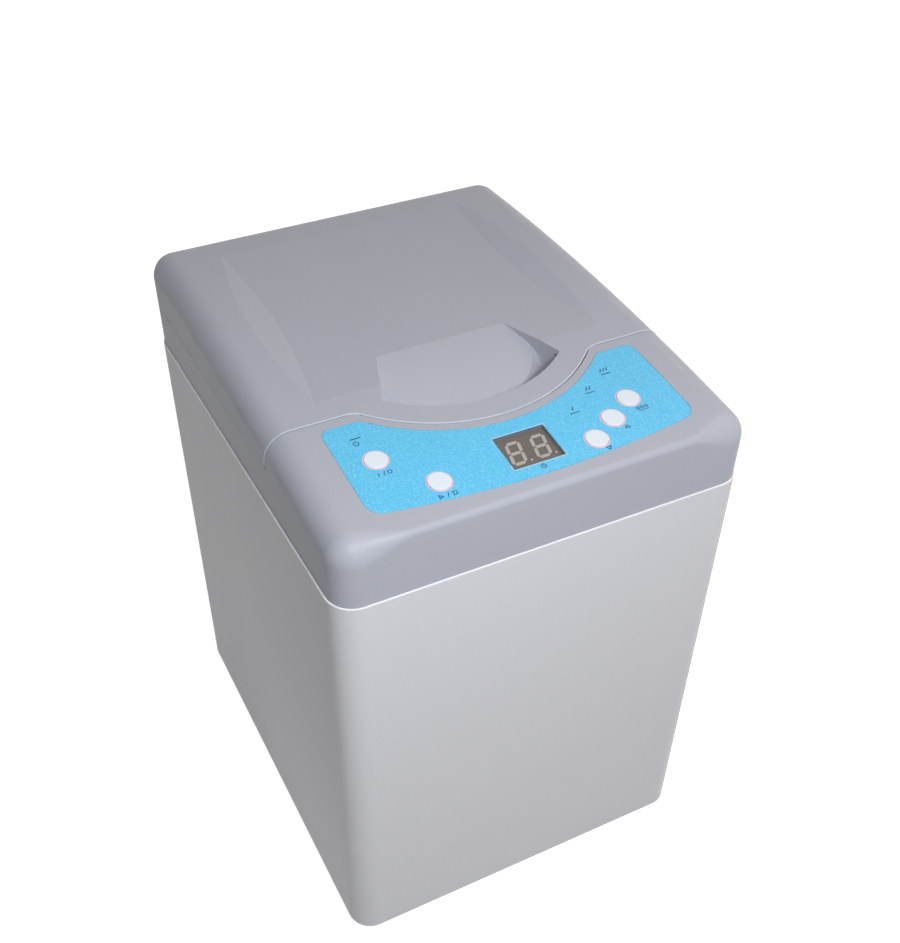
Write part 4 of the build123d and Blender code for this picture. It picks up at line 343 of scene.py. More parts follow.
@dataclass(frozen=True)
class TexturedPlastic(Finish):
    """Injection-moulded housing plastic with the fine sparkle texture of its mould."""

    pebble_scale: float = 1500.0
    pebble_depth: float = 30.0
    speckle: float = 0.6
    speckle_band: Spot = (0.45, 0.75)
    speckle_drift: float = 2.6
    flow_scale: float = 9.0

    def dress(self, graph: Graph, shader: bpy.types.Node) -> None:
        """Lays pebbles over a slow drift of colour, with the flow of the moulding in its gloss."""
        base = self.drifting(graph.noise(self.drift_scale, 4.0, 0.6))
        pebbles = graph.node(
            "ShaderNodeTexVoronoi", inputs={"Vector": graph.place(), "Scale": self.pebble_scale}
        )
        fine = graph.noise(self.grain_scale)
        dark = self.shade(1 - self.speckle_drift * self.drift)
        flow = graph.noise(self.flow_scale, 3.0, 0.5, graph.stretched(1.0, 0.5, 1.0))
        graph.surface(
            shader,
            graph.mix(fine.above(*self.speckle_band) * self.speckle, base, dark),
            graph.bump(fine, self.grain_depth, graph.bump(pebbles, self.pebble_depth)),
            self.gloss(flow),
        )


@dataclass(frozen=True)
class PrintedFilm(Finish):
    """Printed polyester film: an even colour with light flecks and a fine matt grain."""

    fleck: Triple = (136.0, 200.0, 226.0)
    fleck_band: Spot = (0.42, 0.7)
    fleck_share: float = 0.8

    def dress(self, graph: Graph, shader: bpy.types.Node) -> None:
        """Mixes the flecks into the print."""
        base = self.drifting(graph.noise(self.drift_scale))
        flecks = graph.noise(self.grain_scale, 3.0, 0.65)
        share = flecks.above(*self.fleck_band) * self.fleck_share
        graph.surface(
            shader,
            graph.mix(share, base, display_colour(self.fleck)),
            graph.bump(flecks, self.grain_depth),
            flecks * self.gloss_drift + self.roughness,
        )


class Lay(Enum):
    """Which way the tool marks of a metal run."""

    TURNED = "turned round the shaft axis"
    DRAWN = "drawn along z"
    BLASTED = "blasted, with no direction"


@dataclass(frozen=True)
class WorkedMetal(Finish):
    """Metal with the marks of how it was made."""

    metallic: float = 1.0
    lay: Lay = Lay.BLASTED
    drawn_stretch: float = 0.04
    stain: float = 0.12
    stain_shade: float = 0.55
    stain_band: Spot = (0.5, 0.8)
    stain_dulling: float = 0.08

    def marks(self, graph: Graph) -> Channel:
        """Noise that is stretched along the tool marks."""
        if self.lay is Lay.BLASTED:
            return graph.noise(self.grain_scale, 3.0, 0.6)
        if self.lay is Lay.DRAWN:
            return graph.noise(self.grain_scale, where=graph.stretched(1.0, 1.0, self.drawn_stretch))
        x, y, z = graph.axes()
        spoke = graph.combine(x, y - SHAFT_DEPTH * MM)
        radius = graph.node("ShaderNodeVectorMath", {"operation": "LENGTH"}, {0: spoke}, output="Value")
        return graph.noise(self.grain_scale, where=graph.combine(radius, 0.0, z))

    def dress(self, graph: Graph, shader: bpy.types.Node) -> None:
        """Lays tool marks and slow staining into colour, gloss and relief."""
        marks = self.marks(graph)
        stain = graph.noise(self.drift_scale, 4.0, 0.65)
        share = stain.above(*self.stain_band) * self.stain
        graph.surface(
            shader,
            graph.mix(share, self.drifting(marks), self.shade(self.stain_shade)),
            graph.bump(marks, self.grain_depth),
            self.gloss(marks) + stain * self.stain_dulling,
        )


@dataclass(frozen=True)
class StackedSheets(Finish):
    """Edges of thin electrical sheets, pressed into a stack along z."""

    sheet: float = 0.0005
    rust: Triple = (96.0, 66.0, 48.0)
    rust_band: Spot = (0.45, 0.8)
    rust_share: float = 0.6
    joint_shade: float = 0.45

    def dress(self, graph: Graph, shader: bpy.types.Node) -> None:
        """Darkens and dents the joint of every sheet."""
        wave = (graph.axes()[2] * (TURN / self.sheet)).sine() * 0.5 + 0.5
        rusty = graph.noise(self.drift_scale, 3.0).above(*self.rust_band) * self.rust_share
        base = graph.mix(rusty, self.shade(), display_colour(self.rust))
        colour = graph.mix(wave.above(0.0, 0.5), self.shade(self.joint_shade), base)
        graph.surface(shader, colour, graph.bump(wave, self.grain_depth))


@dataclass(frozen=True)
class Board(Finish):
    """Circuit board: solder mask over copper tracks."""

    track_pitch: float = 0.0032
    bend_scale: float = 30.0
    run_bend: float = 0.02
    row_bend: float = 0.03
    run_band: Spot = (0.35, 0.5)
    row_band: Spot = (-0.6, -0.4)
    mask_shade: float = 0.7
    track_shade: float = 1.5

    def dress(self, graph: Graph, shader: bpy.types.Node) -> None:
        """Shows tracks as lighter runs under the solder mask."""
        x, y, _ = graph.axes()
        bend = graph.noise(self.bend_scale, 1.0)
        run = ((x + bend * self.run_bend) * (TURN / self.track_pitch)).sine()
        rows = ((y + bend * self.row_bend) * (TURN / (self.track_pitch * 2))).sine()
        tracks = run.above(*self.run_band) * rows.above(*self.row_band)
        colour = graph.mix(tracks, self.shade(self.mask_shade), self.shade(self.track_shade))
        graph.surface(shader, colour, graph.bump(tracks, self.grain_depth))


def ink(
    name: str, colour: Triple, roughness: float = 0.45, drift: float = 0.03, scale: float = 400.0
) -> Finish:
    """A printing ink on the panel's film."""
    return Finish(name, "overlay_film", colour, roughness=roughness, drift=drift, drift_scale=scale)


class Palette:
    """Every finish of the mixer, by the name of what it covers."""

    CASING = BakedPaint(
        "baked_casing_paint", "painted_casing", (204, 202, 205), roughness=0.4, specular=0.22,
        drift=0.012, drift_scale=12.0, grain_scale=1300.0, grain_depth=8.0,
    )
    # Lighter than the casing paint: a painted highlight along the rolled lip, where lamps glint on it.
    PAINTED_HIGHLIGHT_LIP = BakedPaint(
        "lip_paint_painted_highlight", "painted_casing", (226, 226, 228), roughness=0.22,
        drift=0.01, grain_scale=1300.0, grain_depth=4.0,
    )
    HOUSING = TexturedPlastic(
        "textured_housing_plastic", "housing_plastic", (167, 168, 177), roughness=0.4, specular=0.15,
        drift=0.03, drift_scale=26.0, grain_scale=1150.0, grain_depth=12.0,
    )
    LINER = TexturedPlastic(
        "lid_liner_plastic", "housing_plastic", (196, 199, 203), drift=0.02, grain_scale=1000.0,
    )
    # Lighter and glossier than the housing: a painted highlight along the lid's front edge.
    EDGE = TexturedPlastic(
        "housing_edge_painted_highlight", "housing_plastic", (188, 197, 208), roughness=0.28,
        drift=0.02, drift_scale=60.0, grain_depth=4.0,
    )
    OVERLAY = PrintedFilm(
        "printed_panel_film", "overlay_film", (82, 181, 221), roughness=0.42, specular=0.35,
        drift=0.03, drift_scale=60.0, grain_scale=1050.0, grain_depth=6.0,
    )
    INK = ink("navy_ink", (22, 44, 88), drift=0.12, scale=800.0)
    RING_INK = ink("rose_ink", (232, 176, 186))
    PALE_INK = ink("pale_outline_ink", (176, 200, 214))
    SLATE_INK = ink("slate_border_ink", (78, 84, 96), roughness=0.35, drift=0.05)
    BUTTON = Finish(
        "button_plastic", "button_white", (214, 220, 226), roughness=0.38, specular=0.35,
        drift=0.012, grain_scale=1800.0, grain_depth=6.0,
    )
    SMOKE = Finish(
        "smoked_window", "filter_smoke", (110, 100, 94), roughness=0.16, alpha=0.26, coat=0.2,
        drift=0.03, grain_depth=2.0,
    )
    SEGMENT = Finish(
        "unlit_segment", "segment_grey", (250, 248, 242), roughness=0.6, drift=0.03, drift_scale=300.0,
    )
    FACE = Finish(
        "display_face", "display_face", (130, 120, 112), roughness=0.6, drift=0.03, drift_scale=200.0,
    )
    LAMP = Finish(
        "unlit_lamp_lens", "lamp_dark", (38, 52, 84), roughness=0.3, drift=0.1, drift_scale=200.0,
    )
    BLACK = Finish(
        "black_moulding", "black_plastic", (34, 34, 36), roughness=0.42,
        drift=0.15, drift_scale=40.0, grain_scale=1500.0, grain_depth=10.0,
    )
    CHIP = Finish("chip_moulding", "black_plastic", (26, 27, 29), drift=0.12, drift_scale=200.0)
    RUBBER = Finish(
        "black_rubber", "rubber_black", (30, 30, 31), roughness=0.74,
        drift=0.18, drift_scale=60.0, grain_scale=2200.0,
    )
    BOWL = Finish(
        "bowl_polymer", "bowl_plastic", (236, 238, 240), roughness=0.3,
        drift=0.015, drift_scale=50.0, grain_scale=900.0, grain_depth=6.0,
    )
    CAP = Finish(
        "cap_polymer", "cap_plastic", (70, 110, 160), roughness=0.34,
        drift=0.03, drift_scale=50.0, grain_scale=900.0, grain_depth=6.0,
    )
    BOARD = Board("circuit_board", "board_green", (28, 92, 58), roughness=0.35, grain_depth=30.0)
    LAMINATION = StackedSheets(
        "stacked_sheets", "lamination", (124, 122, 120), roughness=0.42, metallic=0.7, grain_depth=60.0,
    )
    ZINC = WorkedMetal(
        "zinc_plated_steel", "zinc_steel", (182, 184, 188), roughness=0.34,
        drift_scale=90.0, grain_scale=1600.0, grain_depth=4.0, stain=0.2,
    )
    STEEL = WorkedMetal(
        "ground_steel", "bare_steel", (178, 178, 180), roughness=0.26,
        drift=0.06, drift_scale=70.0, grain_scale=1500.0, grain_depth=4.0, lay=Lay.TURNED,
    )
    TUB = WorkedMetal(
        "spun_stainless_tub", "tub_steel", (206, 207, 208), roughness=0.24,
        drift_scale=16.0, grain_scale=1200.0, grain_depth=6.0, lay=Lay.TURNED, stain=0.08,
    )
    ALLOY = WorkedMetal(
        "cast_alloy", "cast_alloy", (168, 170, 174), roughness=0.46, metallic=0.85,
        drift=0.07, drift_scale=60.0, grain_scale=900.0, grain_depth=30.0,
    )
    CAN = WorkedMetal(
        "capacitor_sleeve", "capacitor_can", (188, 192, 196), roughness=0.36, metallic=0.6,
        drift=0.03, grain_scale=900.0, lay=Lay.DRAWN,
    )
    COPPER = WorkedMetal(
        "enamelled_copper", "lamination", (182, 96, 48), roughness=0.34, metallic=0.8,
        drift=0.15, drift_scale=80.0, grain_scale=1100.0, grain_depth=60.0,
    )
    SOLDER = WorkedMetal(
        "solder", "zinc_steel", (190, 192, 196), roughness=0.3,
        drift=0.08, drift_scale=300.0, grain_scale=3000.0,
    )


def paint(finish: Finish, *nodes: str) -> None:
    """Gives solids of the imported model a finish, over the whole of their surface.

    Args:
        finish: The finish.
        nodes: The solids' names.
    """
    material = finish.material()
    for name in nodes:
        mesh = FRAME["nodes"][name].data
        mesh.materials.clear()
        mesh.materials.append(material)
        for polygon in mesh.polygons:
            polygon.material_index = 0


def add_piece(
    name: str,
    points: Sequence[Vector],
    faces: Iterable[Sequence[int]],
    finish: Finish,
    body: str,
    smooth: bool = False,
) -> bpy.types.Object:
    """Makes a mesh piece that moves with a body.

    Args:
        name: The piece's name.
        points: Its points, in metres in the row frame.
        faces: Its faces, as numbers of points.
        finish: Its finish.
        body: The body that it rides on.
        smooth: Whether its faces are shaded smoothly.

    Returns:
        The object, at the origin.
    """
    mesh = bpy.data.meshes.new(name)
    mesh.from_pydata([tuple(point) for point in points], [], [tuple(face) for face in faces])
    mesh.validate()
    return register(mesh, name, finish, body, smooth)


def register(mesh: bpy.types.Mesh, name: str, finish: Finish, body: str, smooth: bool) -> bpy.types.Object:
    """Puts a finished mesh into the scene, dresses it and lets it ride on its body.

    Args:
        mesh: The mesh, in metres in the row frame.
        name: The piece's name.
        finish: Its finish.
        body: The body that it rides on.
        smooth: Whether its faces are shaded smoothly.

    Returns:
        The object, at the origin.
    """
    work = bmesh.new()
    work.from_mesh(mesh)
    bmesh.ops.recalc_face_normals(work, faces=work.faces)
    for face in work.faces:
        face.smooth = smooth
        face.material_index = 0
    work.to_mesh(mesh)
    work.free()
    if smooth:
        mesh.set_sharp_from_angle(angle=math.radians(SHARP_ANGLE))
    mesh.materials.clear()
    mesh.materials.append(finish.material())
    piece = bpy.data.objects.new(name, mesh)
    bpy.context.scene.collection.objects.link(piece)
    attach(piece, body)
    LOG.info("%s: %d faces on %s", name, len(mesh.polygons), body)
    return piece


# ------------------------------------------------------------------ shapes shared by the pieces
@dataclass(frozen=True)
class Crown:
    """The arched top that the lid and the control panel share, in millimetres."""

    middle: float = 344.4
    slope: float = 22.0 / 290.0
    sag: float = 6.1
    half_depth: float = 145.0
    side: float = 119.2
    front: float = 144.2
    corner: float = 14.2

    def slant(self, y: float) -> float:
        """Rise of the top towards the rear at depth y."""
        return self.slope - 2 * self.sag * y / self.half_depth**2

    def height(self, y: float) -> float:
        """Height of the top above the floor at depth y."""
        return self.middle + self.slope * y - self.sag * (y / self.half_depth) ** 2

    def point(self, x: float, y: float, lift: float) -> Vector:
        """A point over the top, in metres, at a place in plan and a distance square to the top."""
        normal = Vector((0.0, -self.slant(y), 1.0)).normalized()
        return (Vector((x, y, self.height(y))) + normal * lift) * MM


CROWN = Crown()


def with_neighbours(path: Sequence[Any], closed: bool) -> Iterator[tuple[Any, Any, Any]]:
    """Every point of a path between the one before it and the one after it.

    Args:
        path: The path's points.
        closed: Whether the last point joins the first.

    Yields:
        The point before, the point and the point after. An open end stands in for its missing one.
    """
    count = len(path)
    for index, here in enumerate(path):
        before = path[index - 1] if closed or index else here
        after = path[(index + 1) % count] if closed or index + 1 < count else here
        yield before, here, after


class Skin:
    """Gathers bars of any section, as rings of points that follow one another, into one piece."""

    def __init__(self) -> None:
        """Starts with nothing."""
        self.points: list[Vector] = []
        self.faces: list[tuple[int, ...]] = []

    def bar(self, rings: Sequence[Sequence[Vector]], closed: bool = False) -> None:
        """Adds one bar, with its last ring joined to the first one or else with both ends capped.

        Args:
            rings: Its sections, each with the same number of points.
            closed: Whether the last section joins the first.
        """
        first, count, sides = len(self.points), len(rings), len(rings[0])
        self.points += [point for ring in rings for point in ring]
        for index in range(count if closed else count - 1):
            low, high = first + index * sides, first + (index + 1) % count * sides
            for step in range(sides):
                after = (step + 1) % sides
                self.faces.append((low + step, low + after, high + after, high + step))
        if not closed:
            for end in (first, first + (count - 1) * sides):
                self.faces.append(tuple(range(end, end + sides)))

    def piece(self, name: str, finish: Finish, body: str = "housing", smooth: bool = False) -> None:
        """Turns the bars into a piece.

        Args:
            name: The piece's name.
            finish: Its finish.
            body: The body that it rides on.
            smooth: Whether its faces are shaded smoothly.
        """
        add_piece(name, self.points, self.faces, finish, body, smooth)


@dataclass(frozen=True)
class Line:
    """One line of a printed symbol: a ring where it has a radius, else a stroke. In millimetres."""

    width: float
    path: tuple[Spot, ...] = ((0.0, 0.0),)
    closed: bool = False
    radius: float = 0.0
    start: float = 0.0
    sweep: float = 360.0


class PrintSheet(Skin):
    """Gathers printed lines that lie on the crowned panel, as thin bars. Lengths in millimetres."""

    thickness: float = 0.03
    sharpest: float = 0.5

    def __init__(self, lift: float) -> None:
        """Prints at the given height over the crown."""
        super().__init__()
        self.lift = lift

    def stroke(self, path: Sequence[Spot], width: float, closed: bool = False) -> None:
        """Adds a line of even width along a path.

        Args:
            path: The corners of its middle line, in plan.
            width: Its width.
            closed: Whether the last corner joins the first.
        """
        rings = []
        for before, (x, y), after in with_neighbours(path, closed):
            side_x, side_y = self._side(before, (x, y), after)
            rings.append([
                CROWN.point(x + hand * side_x * width / 2, y + hand * side_y * width / 2, self.lift - drop)
                for hand, drop in ((-1, 0.0), (-1, self.thickness), (1, self.thickness), (1, 0.0))
            ])
        self.bar(rings, closed)

    def _side(self, before: Spot, here: Spot, after: Spot) -> Spot:
        """Way across the path at a corner, stretched as far as the mitre needs.

        Args:
            before: The corner before.
            here: The corner.
            after: The corner after.

        Returns:
            The way, as long as the mitre is wider than the line.
        """
        legs = [Vector(end) - Vector(start) for start, end in ((before, here), (here, after))]
        legs = [leg.normalized() for leg in legs if leg.length > 1e-9]
        along = (legs[0] + legs[-1]).normalized()
        stretch = 1 / max(self.sharpest, along.dot(legs[0]))
        return (-along.y * stretch, along.x * stretch)

    def ring(self, centre: Spot, radius: float, width: float, start: float = 0.0, sweep: float = 360.0) -> None:
        """Adds a circle or an arc of it.

        Args:
            centre: Its centre in plan.
            radius: Radius of its middle line.
            width: Width of the line.
            start: Angle where it starts, in degrees from +X.
            sweep: Angle that it covers.
        """
        whole = sweep >= 360.0
        steps = max(12, int(radius * 8))
        angles = [math.radians(start + sweep * step / steps) for step in range(steps if whole else steps + 1)]
        path = [(centre[0] + radius * math.cos(a), centre[1] + radius * math.sin(a)) for a in angles]
        self.stroke(path, width, closed=whole)

    def symbol(self, centre: Spot, lines: Iterable[Line]) -> None:
        """Prints a symbol's lines round its centre.

        Args:
            centre: Its centre in plan.
            lines: Its lines, as places from the centre.
        """
        for line in lines:
            path = [(centre[0] + x, centre[1] + y) for x, y in line.path]
            if line.radius:
                self.ring(path[0], line.radius, line.width, line.start, line.sweep)
            else:
                self.stroke(path, line.width, line.closed)


class Rail(Skin):
    """Gathers round beads that run along paths. Lengths in millimetres."""

    def __init__(self, radius: float, sides: int = 10) -> None:
        """Makes beads of the given radius, with so many sides."""
        super().__init__()
        self.radius = radius
        self.sides = sides

    def run(self, path: Sequence[Vector], closed: bool = False) -> None:
        """Adds a bead along a path.

        Args:
            path: Points of its middle line.
            closed: Whether the last point joins the first.
        """
        rings = []
        across = Vector((0.0, 0.0, 1.0))
        for before, here, after in with_neighbours(path, closed):
            along = (after - before).normalized()
            across = (across - along * across.dot(along)).normalized()
            beside = along.cross(across)
            angles = [TURN * step / self.sides for step in range(self.sides)]
            rings.append([
                (here + (across * math.cos(angle) + beside * math.sin(angle)) * self.radius) * MM
                for angle in angles
            ])
        self.bar(rings, closed)


def round_rectangle(half_x: float, half_y: float, corner: float, height: float) -> list[Vector]:
    """Points of a rounded rectangle round the origin at one height, in millimetres.

    Args:
        half_x: Half its width.
        half_y: Half its depth.
        corner: Radius of its corners.
        height: Its height above the floor.

    Returns:
        Its points, anticlockwise.
    """
    path = []
    for quarter, (hand_x, hand_y) in enumerate(((1, 1), (-1, 1), (-1, -1), (1, -1))):
        for degrees in np.linspace(90.0 * quarter, 90.0 * quarter + 90.0, 9):
            x = hand_x * (half_x - corner) + corner * math.cos(math.radians(degrees))
            y = hand_y * (half_y - corner) + corner * math.sin(math.radians(degrees))
            path.append(Vector((x, y, height)))
    return path


def islands(node: str) -> list[np.ndarray]:
    """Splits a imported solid's mesh into its separate bodies and gives the points of each, in metres.

    Args:
        node: The solid's name.

    Returns:
        The points of each body.
    """
    work = bmesh.new()
    work.from_mesh(FRAME["nodes"][node].data)
    bmesh.ops.remove_doubles(work, verts=work.verts, dist=1e-6)
    work.verts.ensure_lookup_table()
    seen: set[int] = set()
    found = []
    for vert in work.verts:
        if vert.index in seen:
            continue
        stack, group = [vert], []
        seen.add(vert.index)
        while stack:
            here = stack.pop()
            group.append(tuple(here.co))
            for other in (edge.other_vert(here) for edge in here.link_edges):
                if other.index not in seen:
                    seen.add(other.index)
                    stack.append(other)
        found.append(np.array(group))
    work.free()
    return found


@dataclass(frozen=True)
class Stand:
    """A place for one repeated form: its foot in metres, and the way that its own +Z points."""

    foot: Vector
    facing: Vector
    turn: float = 0.0

    def euler(self) -> Euler:
        """The turn that lays the form's +Z along the facing."""
        swing = Vector((0, 0, 1)).rotation_difference(self.facing).to_matrix()
        return (swing @ Matrix.Rotation(self.turn, 3, "Z")).to_euler()


# ------------------------------------------------------------------ repeated forms
class Form(Graph):
    """A repeated form: a Geometry Nodes tree sets it on every point and makes the result real."""

    labels: tuple[str, ...] = ()
    _made: dict[type, Form] = {}

    def __init__(self) -> None:
        """Builds the tree, with one input for each of the form's sizes."""
        super().__init__(bpy.data.node_groups.new(type(self).__name__, "GeometryNodeTree"))
        sockets = self.tree.interface
        sockets.new_socket("Points", in_out="INPUT", socket_type="NodeSocketGeometry")
        self.keys = [
            sockets.new_socket(label, in_out="INPUT", socket_type="NodeSocketFloat").identifier
            for label in self.labels
        ]
        sockets.new_socket("Geometry", in_out="OUTPUT", socket_type="NodeSocketGeometry")
        entry = self.tree.nodes.new("NodeGroupInput").outputs
        shape = self.shape(*(Channel(self, entry[label]) for label in self.labels))
        turn = self.node("GeometryNodeInputNamedAttribute", {"data_type": "FLOAT_VECTOR"}, {"Name": "turn"})
        spread = self.node(
            "GeometryNodeInstanceOnPoints",
            inputs={"Points": Channel(self, entry["Points"]), "Instance": shape, "Rotation": turn},
        )
        real = self.node("GeometryNodeRealizeInstances", inputs={"Geometry": spread})
        dressed = self.node("GeometryNodeSetMaterial", inputs={"Geometry": real})
        self.material_socket = dressed.socket.node.inputs["Material"]
        self.feed(self.tree.nodes.new("NodeGroupOutput").inputs["Geometry"], dressed)

    def shape(self, *sizes: Channel) -> Channel:
        """The form at the origin, for the sizes that the labels name."""
        raise NotImplementedError

    @classmethod
    def set_out(
        cls,
        name: str,
        stands: Sequence[Stand],
        sizes: Sequence[float],
        finish: Finish,
        body: str = "housing",
        smooth: bool = False,
    ) -> bpy.types.Object:
        """Runs the tree over the stands and returns a plain mesh piece.

        Args:
            name: The piece's name.
            stands: Where the forms stand.
            sizes: The form's sizes in millimetres, in the order of its labels.
            finish: The piece's finish.
            body: The body that it rides on.
            smooth: Whether its faces are shaded smoothly.

        Returns:
            The piece.
        """
        if cls not in cls._made:
            cls._made[cls] = cls()
        form = cls._made[cls]
        cloud = bpy.data.meshes.new(name + "_points")
        cloud.from_pydata([tuple(stand.foot) for stand in stands], [], [])
        turns = cloud.attributes.new("turn", "FLOAT_VECTOR", "POINT")
        turns.data.foreach_set("vector", [part for stand in stands for part in stand.euler()])
        holder = bpy.data.objects.new(name + "_points", cloud)
        bpy.context.scene.collection.objects.link(holder)
        form.material_socket.default_value = finish.material()
        modifier = holder.modifiers.new("spread", "NODES")
        modifier.node_group = form.tree
        for key, size in zip(form.keys, sizes):
            modifier[key] = float(size * MM)
        view = bpy.context.evaluated_depsgraph_get()
        mesh = bpy.data.meshes.new_from_object(holder.evaluated_get(view))
        mesh.name = name
        holder.modifiers.remove(modifier)
        bpy.data.objects.remove(holder)
        return register(mesh, name, finish, body, smooth)

    def moved(
        self,
        form: Channel,
        shift: Any = (0.0, 0.0, 0.0),
        turn: Any = (0.0, 0.0, 0.0),
        scale: Any = (1.0, 1.0, 1.0),
    ) -> Channel:
        """The form moved, turned and scaled."""
        inputs = {"Geometry": form, "Translation": shift, "Rotation": turn, "Scale": scale}
        return self.node("GeometryNodeTransform", inputs=inputs)

    def cylinder(self, radius: Channel, height: Channel, sides: int) -> Channel:
        """A closed cylinder round the origin."""
        inputs = {"Vertices": sides, "Radius": radius, "Depth": height}
        return self.node("GeometryNodeMeshCylinder", {"fill_type": "NGON"}, inputs, output="Mesh")

    def disc(self, radius: Channel, height: Channel, sides: int, foot: Channel | float = 0.0) -> Channel:
        """A closed cylinder that stands on the given height."""
        return self.moved(self.cylinder(radius, height, sides), self.combine(z=height * 0.5 + foot))

    def block(self, length: Channel, width: Channel, height: Channel, foot: Channel | float = 0.0) -> Channel:
        """A box that stands on the given height."""
        made = self.node(
            "GeometryNodeMeshCube", inputs={"Size": self.combine(length, width, height)}, output="Mesh"
        )
        return self.moved(made, self.combine(z=height * 0.5 + foot))

    def ball(self, segments: int, rings: int, radius: Channel, height: Channel) -> Channel:
        """A ball that is flattened to the given height."""
        inputs = {"Segments": segments, "Rings": rings, "Radius": 1.0}
        made = self.node("GeometryNodeMeshUVSphere", inputs=inputs, output="Mesh")
        return self.moved(made, scale=self.combine(radius, radius, height))

    def cut(self, form: Channel, *tools: Channel) -> Channel:
        """The form with tools cut out of it.

        Args:
            form: The form.
            tools: What is cut out.

        Returns:
            What is left.
        """
        settings = {"operation": "DIFFERENCE", "solver": "EXACT"}
        made = self.node("GeometryNodeMeshBoolean", settings, {"Mesh 1": form}, output="Mesh")
        for tool in tools:
            self.feed(made.socket.node.inputs["Mesh 2"], tool)
        return made

    def joined(self, *parts: Channel) -> Channel:
        """The parts as one."""
        made = self.node("GeometryNodeJoinGeometry")
        for part in parts:
            self.feed(made.socket.node.inputs[0], part)
        return made


class PanHead(Form):
    """A domed screw head with a cross recess, over a short shank."""

    labels = ("Radius", "Height", "Shank")
    cross: tuple[Spot, ...] = ((1.15, 0.24), (0.24, 1.15))

    def shape(self, radius: Channel, height: Channel, shank: Channel) -> Channel:
        """Cuts the lower half and the cross out of a ball and sets it on its shank."""
        under = self.block(radius * 3.0, radius * 3.0, radius * 2.0, radius * -2.0)
        bars = [self.block(radius * long, radius * wide, height, height * 0.35) for long, wide in self.cross]
        head = self.cut(self.ball(24, 12, radius, height), under, *bars)
        return self.joined(head, self.disc(radius * 0.5, shank, 16, shank * -1.0))


class SocketHead(Form):
    """A cylindrical screw head with a six-sided socket."""

    labels = ("Radius", "Height")

    def shape(self, radius: Channel, height: Channel) -> Channel:
        """Cuts the socket out of a disc."""
        return self.cut(self.disc(radius, height, 32), self.disc(radius * 0.55, height, 6, height * 0.4))


class Dot(Form):
    """A low domed dot."""

    labels = ("Radius", "Height")

    def shape(self, radius: Channel, height: Channel) -> Channel:
        """Flattens a ball."""
        return self.ball(16, 8, radius, height)


class Hood(Form):
    """A pressed louvre: a shell that is open below, over a slot across its +Z side."""

    labels = ("Length", "Reach", "Sheet")

    def shape(self, length: Channel, reach: Channel, sheet: Channel) -> Channel:
        """Hollows a round bar along X and opens it below and behind."""
        outer, inner = (
            self.moved(self.cylinder(radius, depth, 28), turn=(0.0, math.pi / 2, 0.0))
            for radius, depth in ((reach, length), (reach - sheet, length - sheet * 2.0))
        )
        wide = length * 1.2
        lower = self.block(wide, reach * 2.0, reach * 4.0, reach * -2.0)
        behind = self.block(wide, reach * 4.0, reach * 2.0, reach * -2.1)
        return self.cut(outer, inner, self.moved(lower, self.combine(y=reach * -1.0)), behind)


class Chip(Form):
    """A moulded block part with a notched end, for a board."""

    labels = ("Length", "Width", "Height")

    def shape(self, length: Channel, width: Channel, height: Channel) -> Channel:
        """Cuts the notch out of a block."""
        notch = self.disc(width * 0.14, height * 2.0, 10)
        end = self.combine(x=length * 0.5, z=height * 0.6)
        return self.cut(self.block(length, width, height), self.moved(notch, end))


class Can(Form):
    """An upright capacitor can with a ring pressed near its foot."""

    labels = ("Radius", "Height")
    foot: float = 0.12
    neck: float = 0.1
    neck_radius: float = 0.92

    def shape(self, radius: Channel, height: Channel) -> Channel:
        """Stacks a foot, a narrower neck and the can."""
        shoulder = self.foot + self.neck
        neck = self.disc(radius * self.neck_radius, height * self.neck, 20, height * self.foot)
        upper = self.disc(radius, height * (1 - shoulder), 20, height * shoulder)
        return self.joined(self.disc(radius, height * self.foot, 20), neck, upper)


class SolderJoint(Form):
    """A small cone of solder."""

    labels = ("Radius", "Height")

    def shape(self, radius: Channel, height: Channel) -> Channel:
        """Makes the cone, with its middle at the origin."""
        inputs = {"Vertices": 8, "Radius Top": radius * 0.3, "Radius Bottom": radius, "Depth": height}
        return self.node("GeometryNodeMeshCone", {"fill_type": "NGON"}, inputs, output="Mesh")


class Coil(Form):
    """An oval loop of winding round the form's Z axis."""

    labels = ("Half Width", "Half Height", "Thickness")

    def shape(self, half_width: Channel, half_height: Channel, thickness: Channel) -> Channel:
        """Runs a round section along an oval."""
        circle, section = (
            self.node(
                "GeometryNodeCurvePrimitiveCircle",
                inputs={"Resolution": steps, "Radius": radius},
                output="Curve",
            )
            for steps, radius in ((40, 1.0), (8, thickness))
        )
        loop = self.moved(circle, scale=self.combine(half_width, half_height, 1.0))
        return self.node("GeometryNodeCurveToMesh", inputs={"Curve": loop, "Profile Curve": section})


@dataclass(frozen=True)
class Screw:
    """A head with a recess that caps the plain head of a packed screw. Lengths in millimetres.

    The drop is how far below the plain head's end the recessed one starts.
    """

    radius: float
    height: float
    drop: float
    socket: bool = False
    shank: float = 0.5

    def crown(self, node: str, facing: Vector, body: str) -> None:
        """Sets a head on every screw of a node, each with a turn of its own.

        Args:
            node: The screws' node.
            facing: The way that their heads face.
            body: The body that they ride on.
        """
        stands = []
        for index, points in enumerate(islands(node)):
            reach = float((points @ np.array(facing)).max()) - self.drop * MM
            centre = Vector((points.min(0) + points.max(0)) / 2)
            stands.append(Stand(centre + facing * (reach - centre.dot(facing)), facing, turn=0.7 * index))
        form = SocketHead if self.socket else PanHead
        form.set_out(f"{node}_recess", stands, (self.radius, self.height, self.shank), Palette.ZINC, body)


SMALL_SCREW = Screw(2.4, 1.5, 1.0)
PANEL_SCREW = Screw(3.15, 1.8, 1.5)
TIE_ROD = Screw(5.2, 3.2, 2.5)
WEIGHT_SCREW = Screw(5.1, 4.0, 3.0, socket=True)


